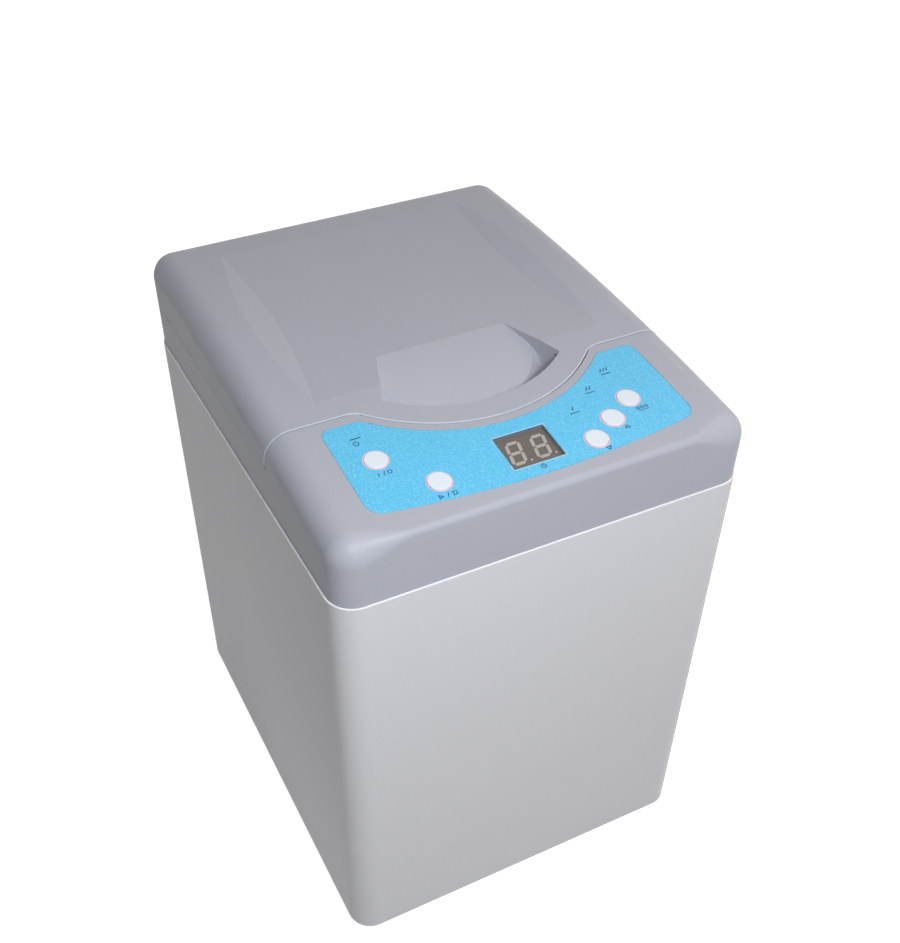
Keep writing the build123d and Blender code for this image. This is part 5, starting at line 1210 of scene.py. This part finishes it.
# ------------------------------------------------------------------ sub-assemblies
class Group:
    """A sub-assembly. Its solids get their finishes, then come its own pieces and its screw recesses."""

    finishes: tuple[tuple[Finish, str], ...] = ()
    screws: tuple[tuple[Screw, str, Triple, str], ...] = ()

    def build(self) -> None:
        """Dresses the sub-assembly."""
        for finish, nodes in self.finishes:
            paint(finish, *nodes.split())
        self.add()
        for screw, node, facing, body in self.screws:
            screw.crown(node, Vector(facing), body)
        LOG.info("%s dressed", type(self).__name__)

    def add(self) -> None:
        """Adds pieces of its own, where it has any."""


class Casing(Group):
    """Painted casing with its base pan, feet, tie rods and rear fittings."""

    finishes = (
        (Palette.CASING, "body_casing"),
        (Palette.ZINC, "base_pan tie_rods hinge_housing_leaves hinge_pins rear_screws"),
        (Palette.RUBBER, "rubber_feet"),
    )
    screws = (
        (SMALL_SCREW, "rear_screws", (0, 1, 0), "housing"),
        (TIE_ROD, "tie_rods", (0, 0, -1), "housing"),
    )
    half_width: float = 120.0
    half_depth: float = 145.0
    corner: float = 15.0
    lip_height: float = 290.55
    lip_radius: float = 0.5
    lip_cover: float = 0.05
    louvre_corner: Spot = (-55.0, 60.0)
    louvre_pitch: float = 9.0
    louvre_count: int = 8
    hood_size: Triple = (73.0, 3.0, 0.8)

    def add(self) -> None:
        """Adds the rolled lip under the housing, in a lighter paint that is a painted highlight, and the
        pressed hoods over the rear air slots.
        """
        rail = Rail(self.lip_radius)
        inset = self.lip_radius - self.lip_cover
        half_x, half_y, corner = (size - inset for size in (self.half_width, self.half_depth, self.corner))
        rail.run(round_rectangle(half_x, half_y, corner, self.lip_height), closed=True)
        rail.piece("casing_lip", Palette.PAINTED_HIGHLIGHT_LIP, smooth=True)
        x, z = self.louvre_corner
        rows = [Vector((x, self.half_depth, z + self.louvre_pitch * row)) for row in range(self.louvre_count)]
        stands = [Stand(row * MM, Vector((0, 1, 0))) for row in rows]
        Hood.set_out("louvre_hoods", stands, self.hood_size, Palette.CASING, smooth=True)


class TopHousing(Group):
    """Moulded top housing with the well's rim and the lid's lock. Lengths in millimetres.

    The brow gives the front top edge its tighter rounding, which softens towards both corners.
    """

    finishes = (
        (Palette.HOUSING, "top_housing"),
        (Palette.RUBBER, "well_seal_and_pads"),
        (Palette.BLACK, "lock_body"),
        (Palette.STEEL, "lock_plunger"),
    )
    radius: float = 3.6
    blend: float = 78.0
    half: float = 105.0
    cover: float = 0.04
    thickness: float = 0.6
    buried: float = -0.06
    lap: float = 0.3
    skirt: float = 1.0
    fade: float = 3.0
    stations: int = 84
    top_steps: int = 8
    round_steps: int = 14
    face_steps: int = 6

    def add(self) -> None:
        """Adds the brow, which sinks into the housing at both ends."""
        rings = []
        for station in range(self.stations + 1):
            x = self.half * (2 * station / self.stations - 1)
            share = min(1.0, max(0.0, (abs(x) - self.blend) / (self.half - self.blend)))
            share = share * share * (3 - 2 * share)
            radius = self.radius + (CROWN.corner - self.radius) * share
            cover = self.cover * (1 - 2 * max(0.0, (abs(x) - self.half + self.fade) / self.fade))
            limit = ControlPanel.front_edge(x)
            outer = self.section(radius, cover, limit)
            inner = self.section(CROWN.corner, -self.thickness, limit)
            rings.append([Vector((x, y, z)) * MM for y, z in outer + inner[::-1]])
        brow = Skin()
        brow.bar(rings)
        brow.piece("front_brow", Palette.HOUSING, smooth=True)

    @staticmethod
    def touch(radius: float) -> float:
        """Depth where a rounding of that radius leaves the top.

        Args:
            radius: The radius.

        Returns:
            The depth.
        """
        edge = radius - CROWN.front
        y = edge
        for _ in range(8):
            y = edge - radius * CROWN.slant(y) / math.hypot(1.0, CROWN.slant(y))
        return y

    def section(self, radius: float, cover: float, limit: float) -> list[Spot]:
        """Outline of the front edge in depth and height, from the top to the front face.

        Args:
            radius: Radius of its rounding.
            cover: How far it lies over the plain form.
            limit: Depth where it starts at the latest, so that it leaves the film free.

        Returns:
            Depth and height of each point.
        """
        wide, tight = self.touch(CROWN.corner), self.touch(radius)
        start = min(wide + self.lap, limit)
        path: list[Spot] = []
        for step in range(self.top_steps + 1):
            y = start + (tight - start) * step / self.top_steps
            path.append((y, CROWN.height(y) + (self.buried if step == 0 and start > wide else cover)))
        tilt = math.atan(CROWN.slant(tight))
        middle_y, middle_z = radius - CROWN.front, CROWN.height(tight) - radius * math.cos(tilt)
        for step in range(1, self.round_steps + 1):
            angle = math.pi / 2 + tilt + (math.pi / 2 - tilt) * step / self.round_steps
            reach = radius + cover
            path.append((middle_y + reach * math.cos(angle), middle_z + reach * math.sin(angle)))
        foot = CROWN.height(wide) - CROWN.corner - self.skirt
        for step in range(1, self.face_steps + 1):
            out = cover if step < self.face_steps else self.buried
            path.append((-CROWN.front - out, middle_z + (foot - middle_z) * step / self.face_steps))
        return path


SLASH = Line(0.44, ((-0.6, -1.3), (0.6, 1.3)))
TICK = Line(0.5, ((-0.9, 0.1), (-0.4, -0.8), (0.8, 1.5)))


def square(x: float, half: float, width: float) -> Line:
    """A small square beside a symbol's centre."""
    return Line(width, ((x - half, -half), (x + half, -half), (x + half, half), (x - half, half)), closed=True)


def arrow(way: int) -> Line:
    """A triangle that points to the rear (1) or the front (-1) of the panel."""
    return Line(0.5, ((-1.35, -0.8 * way), (1.35, -0.8 * way), (0.0, 1.2 * way)), closed=True)


class ControlPanel(Group):
    """Printed film, buttons, lamps and display of the sloping panel, in millimetres."""

    finishes = (
        (Palette.OVERLAY, "control_overlay"),
        (Palette.BUTTON, "power_button start_button down_button up_button memory_button"),
        (Palette.LAMP, "indicator_lamps"),
        (Palette.SEGMENT, "display_digits"),
        (Palette.FACE, "display_module"),
        (Palette.SMOKE, "display_filter"),
        (Palette.BLACK, "tact_switches"),
        (Palette.BOARD, "control_board"),
        (Palette.ZINC, "board_screws"),
    )
    middle: Triple = (0.0, -105.0, 333.24)
    tilt: float = math.radians(7.79)
    film_top: float = -0.05
    film_half: float = 93.0
    film_front: float = -127.5
    film_bow: float = 7.5
    film_gap: float = 0.5
    print_lift: float = 0.03
    button_radius: float = 6.1
    ring_width: float = 0.62
    button_places: tuple[Spot, ...] = (
        (-75.0, -95.0), (-53.0, -120.0), (34.0, -124.0), (50.0, -114.0), (66.0, -104.0),
    )
    ticks: tuple[tuple[Spot, int], ...] = (((66.5, -79.5), 3), ((50.5, -89.5), 2), ((34.5, -100.0), 1))
    tick_pitch: float = 1.9
    symbols: tuple[tuple[str, Spot, tuple[Line, ...]], ...] = (
        ("mains", (-79.0, -80.6), (
            Line(0.46, radius=1.45, start=125.0, sweep=290.0), Line(0.46, ((0.0, 0.2), (0.0, 1.9))),
        )),
        ("on and off", (-75.0, -104.6), (
            Line(0.5, ((-3.0, -1.15), (-3.0, 1.15))), SLASH, Line(0.46, ((3.0, 0.0),), radius=1.1),
        )),
        ("start and stop", (-53.0, -129.4), (
            Line(0.48, ((-4.6, -1.15), (-4.6, 1.15), (-2.6, 0.0)), closed=True), SLASH, square(3.7, 1.0, 0.48),
        )),
        ("time", (-0.7, -130.2), (
            Line(0.44, radius=1.35), Line(0.4, ((0.0, 0.85), (0.0, 0.0), (0.65, 0.0))),
        )),
        ("down", (36.6, -131.8), (arrow(-1),)),
        ("up", (53.6, -122.2), (arrow(1),)),
        ("stored times", (69.0, -112.6), (
            square(-2.5, 0.7, 0.46), square(0.0, 0.7, 0.46), square(2.5, 0.7, 0.46),
            Line(0.44, ((-3.2, -1.9), (3.2, -1.9))),
        )),
    )
    display: Spot = (-0.7, -115.7)
    display_size: Spot = (29.5, 23.5)
    outline_grow: float = 0.25
    outline_width: float = 0.45
    border_grow: float = -0.3
    border_width: float = 0.7
    border_drop: float = -0.3
    digit_centres: Spot = (-7.8, 6.4)
    point_shift: Spot = (5.1, -7.1)
    point_drop: float = 0.08
    point_size: Spot = (0.75, 0.15)
    board_depth: float = 15.6
    board_left: float = -90.0
    board_front: float = -26.0
    board_size: Spot = (180.0, 58.0)

    def add(self) -> None:
        """Prints the marks and adds the display's points and the board's small parts."""
        rings = PrintSheet(self.film_top + self.print_lift)
        for centre in self.button_places:
            rings.ring(centre, self.button_radius + self.ring_width / 2, self.ring_width)
        rings.piece("button_rings", Palette.RING_INK)
        self.marks()
        self.frame("display_outline", self.print_lift, self.outline_grow, self.outline_width, Palette.PALE_INK)
        self.frame("display_border", self.border_drop, self.border_grow, self.border_width, Palette.SLATE_INK)
        normal, rear = (
            Vector((0.0, -math.sin(self.tilt), math.cos(self.tilt))),
            Vector((0.0, math.cos(self.tilt), math.sin(self.tilt))),
        )
        self.display_points(normal, rear)
        corner = Vector(self.middle) - normal * self.board_depth
        corner += Vector((self.board_left, 0.0, 0.0)) + rear * self.board_front
        width, depth = self.board_size
        parts = BoardParts("control_board", corner, Vector((width, 0.0, 0.0)), rear * depth, normal, seed=5)
        parts.build(chips=44, cans=2, joints=70)
        PANEL_SCREW.crown("board_screws", -normal, "housing")

    @classmethod
    def front_edge(cls, x: float) -> float:
        """Depth of the film's bowed front edge, with the gap that the housing leaves round it.

        Args:
            x: Place across the panel.

        Returns:
            The depth.
        """
        radius = (cls.film_half**2 + cls.film_bow**2) / (2 * cls.film_bow)
        inside = min(abs(x), cls.film_half)
        return cls.film_front - cls.film_bow + radius - math.sqrt(radius**2 - inside**2) - cls.film_gap

    def marks(self) -> None:
        """Prints plain symbols where the panel tells what each lamp and button does."""
        sheet = PrintSheet(self.film_top + self.print_lift)
        for (x, y), count in self.ticks:
            for number in range(count):
                sheet.symbol((x + (number - (count - 1) / 2) * self.tick_pitch, y), (TICK,))
        for _, centre, lines in self.symbols:
            sheet.symbol(centre, lines)
        sheet.piece("panel_symbols", Palette.INK)

    def frame(self, name: str, lift: float, grow: float, width: float, finish: Finish) -> None:
        """Prints a line round the display's window, so much larger than it on every side.

        Args:
            name: The piece's name.
            lift: Height over the film.
            grow: How far the line's middle lies outside the window.
            width: The line's width.
            finish: The piece's finish.
        """
        half_x, half_y = (size / 2 + grow for size in self.display_size)
        x, y = self.display
        sheet = PrintSheet(self.film_top + lift)
        corners = [(x + i * half_x, y + j * half_y) for i, j in ((-1, -1), (1, -1), (1, 1), (-1, 1))]
        sheet.stroke(corners, width, closed=True)
        sheet.piece(name, finish)

    def display_points(self, normal: Vector, rear: Vector) -> None:
        """Adds the unlit point at the foot of each digit.

        Args:
            normal: Way square to the panel.
            rear: Way along the panel to the rear.
        """
        digits = FRAME["nodes"]["display_digits"].data
        level = max(vertex.co.dot(normal) for vertex in digits.vertices) - self.point_drop * MM
        right, back = self.point_shift
        stands = []
        for across in self.digit_centres:
            shift = rear * (self.display[1] - self.middle[1] + back)
            spot = (Vector(self.middle) + Vector((across + right, 0.0, 0.0)) + shift) * MM
            stands.append(Stand(spot + normal * (level - spot.dot(normal)), normal))
        Dot.set_out("display_points", stands, self.point_size, Palette.SEGMENT)


class Lid(Group):
    """Hinged lid with its inner panel, hook and hinge leaves. Lengths in millimetres."""

    finishes = (
        (Palette.HOUSING, "lid_shell"),
        (Palette.LINER, "lid_liner"),
        (Palette.ZINC, "lid_hook hinge_lid_leaves liner_screws hinge_lid_screws"),
    )
    screws = (
        (PANEL_SCREW, "liner_screws", (0, 0, -1), "lid"),
        (SMALL_SCREW, "hinge_lid_screws", (0, 1, 0), "lid"),
    )
    seam_height: float = 317.4
    seam_front: float = -59.0
    seam_rear: float = 129.0
    lean: float = math.tan(math.radians(11.0))
    tongue: float = 95.5
    bead: float = 0.42
    bead_inset: float = 0.4
    bead_sink: float = 0.15
    bead_sides: int = 8
    bend_in: float = 6.0
    bend_out: float = 5.5

    def add(self) -> None:
        """Adds the bead along the lid's front edge, lighter than the housing: a painted highlight."""
        rail = Rail(self.bead, self.bead_sides)
        rail.run(self.edge())
        rail.piece("lid_edge_bead", Palette.EDGE, "lid", smooth=True)

    def edge(self) -> list[Vector]:
        """Middle line of the bead: along the left side, over the top and along the right side."""
        raised = self.seam_height + 1
        left = [
            Vector((x, y + self.bead_inset if z > raised else y, z))
            for x, y, z in self.side_edge() + self.top_edge()
        ]
        return left + [Vector((-point.x, point.y, point.z)) for point in left[-2::-1]]

    def side_edge(self) -> list[Triple]:
        """The bead's left part, from the rear along the seam and up the leaning front to the top.

        Returns:
            Its points.
        """
        side, sink, corner = CROWN.side, self.bead_sink, CROWN.corner
        level = CROWN.height(self.seam_front)
        foot = self.seam_height + self.bead_inset
        front = self.seam_front + self.lean * (level - foot) + 1.0
        path = [(sink - side, y, foot) for y in np.linspace(self.seam_rear, front, 30)]
        for angle in np.radians(np.linspace(0.0, 90.0, 12)):
            x = corner * (1 - math.cos(angle)) - side + sink * math.cos(angle)
            z = level - corner * (1 - math.sin(angle)) - sink * math.sin(angle)
            path.append((x, self.seam_front + self.lean * (level - z), z))
        return path

    def top_edge(self) -> list[Triple]:
        """The bead over the top, from the left side to the middle of the round tongue.

        Returns:
            Its points.
        """
        across = math.sqrt(self.tongue**2 - (self.seam_front - SHAFT_DEPTH) ** 2)
        meet = Vector((-across, self.seam_front))
        after = math.atan2(meet.y - SHAFT_DEPTH, meet.x) + self.bend_out / self.tongue
        start = CROWN.corner + 2 - CROWN.side
        plan = [Vector((x, self.seam_front)) for x in np.linspace(start, meet.x - self.bend_in, 10)]
        before, beyond = plan[-1], self.on_tongue(after)
        plan += [before.lerp(meet, t).lerp(meet.lerp(beyond, t), t) for t in (0.2, 0.4, 0.6, 0.8)]
        plan += [self.on_tongue(angle) for angle in np.linspace(after, -math.pi / 2, 34)]
        return [(spot.x, spot.y, CROWN.height(spot.y) - self.bead_sink) for spot in plan]

    def on_tongue(self, angle: float) -> Vector:
        """A place in plan on the tongue's edge."""
        return Vector((self.tongue * math.cos(angle), SHAFT_DEPTH + self.tongue * math.sin(angle)))


class Well(Group):
    """Stainless tub in the well with its running track."""

    finishes = (
        (Palette.TUB, "mixing_tub"),
        (Palette.ZINC, "tub_screws"),
        (Palette.STEEL, "friction_track"),
        (Palette.RUBBER, "shaft_seal"),
    )
    screws = ((PANEL_SCREW, "tub_screws", (0, 0, 1), "housing"),)


class BowlGroup(Group):
    """Mixing bowl with its cap, holder, tyre and axle."""

    finishes = (
        (Palette.BOWL, "mixing_bowl"),
        (Palette.CAP, "bowl_cap"),
        (Palette.ALLOY, "bowl_holder"),
        (Palette.RUBBER, "friction_tyre"),
        (Palette.STEEL, "holder_axle holder_nut carrier_bearings"),
    )


class Drive(Group):
    """Motor, bridge, rotor arm and counterweight. Lengths in millimetres."""

    finishes = (
        (Palette.ALLOY, "rotor_arm motor_end_bells motor_housing"),
        (Palette.STEEL, "counterweight drive_shaft spindle_nut motor_bearings"),
        (Palette.ZINC, "weight_screws motor_bridge motor_pillars"),
        (Palette.LAMINATION, "motor_stator motor_core"),
        (Palette.BLACK, "cooling_fan"),
        (Palette.RUBBER, "rubber_isolators"),
    )
    screws = ((WEIGHT_SCREW, "weight_screws", (0, 0, 1), "rotor"),)
    stator_middle: float = 76.0
    teeth: int = 12
    coil_circle: float = 35.0
    coil_size: Triple = (6.4, 24.2, 1.9)

    def add(self) -> None:
        """Winds a copper coil round every tooth of the stator."""
        stands = []
        for tooth in range(self.teeth):
            angle = TURN * tooth / self.teeth
            facing = Vector((math.cos(angle), math.sin(angle), 0.0))
            foot = Vector((0.0, SHAFT_DEPTH, self.stator_middle)) + facing * self.coil_circle
            stands.append(Stand(foot * MM, facing, turn=angle + math.pi / 2))
        Coil.set_out("stator_windings", stands, self.coil_size, Palette.COPPER, smooth=True)


@dataclass(frozen=True)
class Part:
    """A kind of small part on a board. Lengths in millimetres.

    The reach is half its largest size, and the gap the least distance between two of them. The side
    is 1 for the face that the board's normal points to and -1 for the other one.
    """

    label: str
    form: type[Form]
    sizes: Sequence[float]
    finish: Finish
    reach: float
    gap: float
    side: int = 1
    smooth: bool = False


class BoardParts:
    """Small parts and solder joints that stand on the free places of a board. Lengths in millimetres."""

    kinds: tuple[Part, ...] = (
        Part("circuits", Chip, (12.0, 8.0, 2.2), Palette.CHIP, 7.0, 16.0),
        Part("cans", Can, (3.0, 7.0), Palette.CAN, 4.0, 9.0, smooth=True),
        Part("chips", Chip, (3.2, 1.6, 0.9), Palette.CHIP, 2.4, 4.6),
        Part("solder", SolderJoint, (0.9, 0.9), Palette.SOLDER, 1.2, 2.6, side=-1),
    )
    thickness: float = 1.6
    clearance: float = 60.0
    tries: int = 40
    flatness: float = 0.1
    level_play: float = 0.2

    def __init__(
        self, node: str, corner: Vector, across: Vector, along: Vector, normal: Vector, seed: int
    ) -> None:
        """Takes the board's node and the corner, edges and normal of its lower face.

        Args:
            node: The board's node.
            corner: A corner of its lower face.
            across: The edge from there across.
            along: The edge from there along the depth.
            normal: The way from the lower face to the upper one.
            seed: Start of its random draws.
        """
        self.node, self.normal, self.seed = node, normal, seed
        self.corner, self.across, self.along = corner, across, along
        mesh = FRAME["nodes"][node].data
        faces = [tuple(polygon.vertices) for polygon in mesh.polygons]
        self.tree = BVHTree.FromPolygons([vertex.co for vertex in mesh.vertices], faces)
        self.taken: list[Stand] = []

    def build(self, chips: int, cans: int, joints: int) -> None:
        """Fills the board with so many parts of each kind, or as many as find a place.

        Args:
            chips: How many small chips, with a tenth as many circuits.
            cans: How many cans.
            joints: How many solder joints.
        """
        for part, count in zip(self.kinds, (max(2, chips // 10), cans, chips, joints)):
            stands = self.free_places(part, count)
            if stands:
                name = f"{self.node}_{part.label}"
                part.form.set_out(name, stands, part.sizes, part.finish, smooth=part.smooth)
            LOG.info("%s: %d %s", self.node, len(stands), part.label)

    def free_places(self, part: Part, count: int) -> list[Stand]:
        """Finds places where nothing else stands on the board.

        Args:
            part: The kind of part.
            count: How many places to look for.

        Returns:
            A stand at each place.
        """
        pick = random.Random(self.seed + part.side * 7 + count)
        facing = self.normal * part.side
        found: list[Stand] = []
        for _ in range(count * self.tries):
            if len(found) == count:
                break
            spot = self.corner + self.across * pick.random() + self.along * pick.random()
            place = self.bare_place(spot, facing, part)
            if place is None:
                continue
            if any((stand.foot - place).length < part.gap * MM for stand in self.taken + found):
                continue
            found.append(Stand(place, facing, turn=pick.choice((0.0, math.pi / 2))))
        self.taken += found
        return found

    def bare_place(self, spot: Vector, facing: Vector, part: Part) -> Vector | None:
        """The point of the bare board at a spot, or None where the part has no room on it.

        Args:
            spot: The spot, in millimetres.
            facing: The way that the board's face looks.
            part: The kind of part.

        Returns:
            The point in metres, or None.
        """
        along, across = self.along.normalized() * part.reach, self.across.normalized() * part.reach
        rim = [across * i + along * j for i, j in ((0, 0), (1, 1), (1, -1), (-1, 1), (-1, -1))]
        hits = [self.tree.ray_cast((spot + shift + facing * self.clearance) * MM, -facing)[0] for shift in rim]
        if None in hits:
            return None
        levels = [hit.dot(facing) for hit in hits]
        bare = self.corner.dot(facing) + (self.thickness if part.side > 0 else 0.0)
        flat = max(levels) - min(levels) <= self.flatness * MM
        level = abs(max(levels) - bare * MM) <= self.level_play * MM
        return hits[0] if flat and level else None


class Mains(Group):
    """Inlet, fuse drawer, capacitor and power board. Lengths in millimetres."""

    finishes = (
        (Palette.BLACK, "power_inlet fuse_drawer"),
        (Palette.CAN, "run_capacitor"),
        (Palette.ZINC, "capacitor_clamp"),
        (Palette.BOARD, "power_board"),
    )
    board_corner: Triple = (-75.0, -132.0, 19.5)
    board_size: Spot = (150.0, 48.0)

    def add(self) -> None:
        """Fills the power board."""
        across, along = Vector((self.board_size[0], 0, 0)), Vector((0, self.board_size[1], 0))
        corner = Vector(self.board_corner)
        parts = BoardParts("power_board", corner, across, along, Vector((0, 0, 1)), seed=11)
        parts.build(chips=34, cans=5, joints=60)


# ------------------------------------------------------------------ studio
@dataclass(frozen=True)
class Lamp:
    """A soft rectangular lamp that faces a point. Lengths in metres, power in watts."""

    name: str
    place: Triple
    target: Triple
    size: Spot
    power: float
    tint: Triple = (1.0, 1.0, 1.0)
    mirrored: bool = True

    def build(self) -> None:
        """Adds the lamp, which shiny surfaces show only where it is mirrored."""
        data = bpy.data.lights.new(self.name, "AREA")
        data.shape = "RECTANGLE"
        data.size, data.size_y = self.size
        data.energy = self.power
        data.color = self.tint
        lamp = bpy.data.objects.new(self.name, data)
        bpy.context.scene.collection.objects.link(lamp)
        lamp.visible_glossy = self.mirrored
        lamp.location = self.place
        lamp.rotation_euler = (Vector(self.target) - Vector(self.place)).to_track_quat("-Z", "Y").to_euler()


class Studio:
    """Floor, lamps and the white surroundings. Lengths in metres."""

    lamps: tuple[Lamp, ...] = (
        Lamp("near_panel", (-0.15, -0.75, 1.0), (0.0, -0.1, 0.33), (0.4, 0.3), 11.5, (0.93, 0.97, 1.0)),
        Lamp("right_panel", (1.6, 0.2, 1.6), (0.0, 0.0, 0.3), (1.0, 1.0), 9.8, (1.0, 0.80, 0.64)),
        Lamp("rear_fill", (0.7, 2.0, 0.3), (0.0, 0.0, 0.15), (1.4, 1.0), 17.0, mirrored=False),
        Lamp("side_fill", (2.3, 0.0, 0.4), (0.0, 0.0, 0.15), (2.0, 0.8), 12.0, mirrored=False),
    )
    ambient: float = 0.05
    floor_half: float = 6.0
    floor_shade: float = 0.45
    floor_roughness: float = 0.8
    glow_near: float = 0.88
    glow_band: Spot = (0.7, 2.0)

    def build(self) -> None:
        """Sets up everything that isn't the object."""
        self.surroundings()
        self.floor()
        for lamp in self.lamps:
            lamp.build()
        bpy.context.scene.view_settings.view_transform = "Standard"

    def surroundings(self) -> None:
        """A white world to look at, and an even, weaker light from it."""
        world = bpy.data.worlds.new("studio_air")
        bpy.context.scene.world = world
        world.use_nodes = True
        graph = Graph(world.node_tree)
        background = world.node_tree.nodes["Background"]
        background.inputs["Color"].default_value = (1.0, 1.0, 1.0, 1.0)
        graph.feed(background.inputs["Strength"], graph.sight() * (1 - self.ambient) + self.ambient)

    def floor(self) -> None:
        """A pale floor that shows white where no shadow lies on it."""
        half = self.floor_half
        mesh = bpy.data.meshes.new("studio_floor")
        corners = [(-half, -half, 0), (half, -half, 0), (half, half, 0), (-half, half, 0)]
        mesh.from_pydata(corners, [], [(0, 1, 2, 3)])
        floor = bpy.data.objects.new("studio_floor", mesh)
        bpy.context.scene.collection.objects.link(floor)
        material = bpy.data.materials.new("studio_floor")
        material.use_nodes = True
        graph = Graph(material.node_tree)
        shader = material.node_tree.nodes["Principled BSDF"]
        shader.inputs["Base Color"].default_value = (*(self.floor_shade,) * 3, 1.0)
        shader.inputs["Roughness"].default_value = self.floor_roughness
        shader.inputs["Emission Color"].default_value = (1.0, 1.0, 1.0, 1.0)
        x, y, _ = graph.axes()
        away = ((x * x + y * y) ** 0.5).above(*self.glow_band)
        glow = away * (1 - self.glow_near) + self.glow_near
        graph.feed(shader.inputs["Emission Strength"], graph.sight() * glow)
        mesh.materials.append(material)


@dataclass(frozen=True)
class Viewpoint:
    """The camera of the photograph. Angles in degrees, lengths in metres, the frame in pixels."""

    place: Triple = (-0.252463, -0.500186, 0.665883)
    azimuth: float = -25.072
    elevation: float = 41.508
    roll: float = -1.072
    focal: float = 1129.698
    centre: Spot = (400.0, 552.0)
    frame: Spot = (900.0, 943.0)
    sensor: float = 36.0
    near_clip: float = 0.01

    def build(self) -> None:
        """Adds the camera and makes it the scene's own."""
        azimuth, elevation, roll = (math.radians(a) for a in (self.azimuth, self.elevation, self.roll))
        back = Vector((math.sin(azimuth), -math.cos(azimuth), 0.0)) * math.cos(elevation)
        back.z = math.sin(elevation)
        level = (-back).cross(Vector((0, 0, 1))).normalized()
        upright = level.cross(-back)
        right = level * math.cos(roll) + upright * math.sin(roll)
        up = upright * math.cos(roll) - level * math.sin(roll)
        longest = max(self.frame)
        data = bpy.data.cameras.new("photograph_view")
        data.sensor_width = self.sensor
        data.lens = self.focal * self.sensor / longest
        data.shift_x = (self.frame[0] / 2 - self.centre[0]) / longest
        data.shift_y = (self.centre[1] - self.frame[1] / 2) / longest
        data.clip_start = self.near_clip
        camera = bpy.data.objects.new("photograph_view", data)
        bpy.context.scene.collection.objects.link(camera)
        turn = Matrix((right, up, back)).transposed().to_4x4()
        camera.matrix_world = Matrix.Translation(self.place) @ turn
        bpy.context.scene.camera = camera


def main() -> None:
    """Builds every sub-assembly in order, then the studio and the camera."""
    logging.basicConfig(level=logging.INFO, format="%(name)s %(message)s")
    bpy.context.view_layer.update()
    for group in (Casing(), TopHousing(), ControlPanel(), Lid(), Well(), BowlGroup(), Drive(), Mains()):
        group.build()
    Studio().build()
    Viewpoint().build()


if __name__ == "__main__":
    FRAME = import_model()
    main()
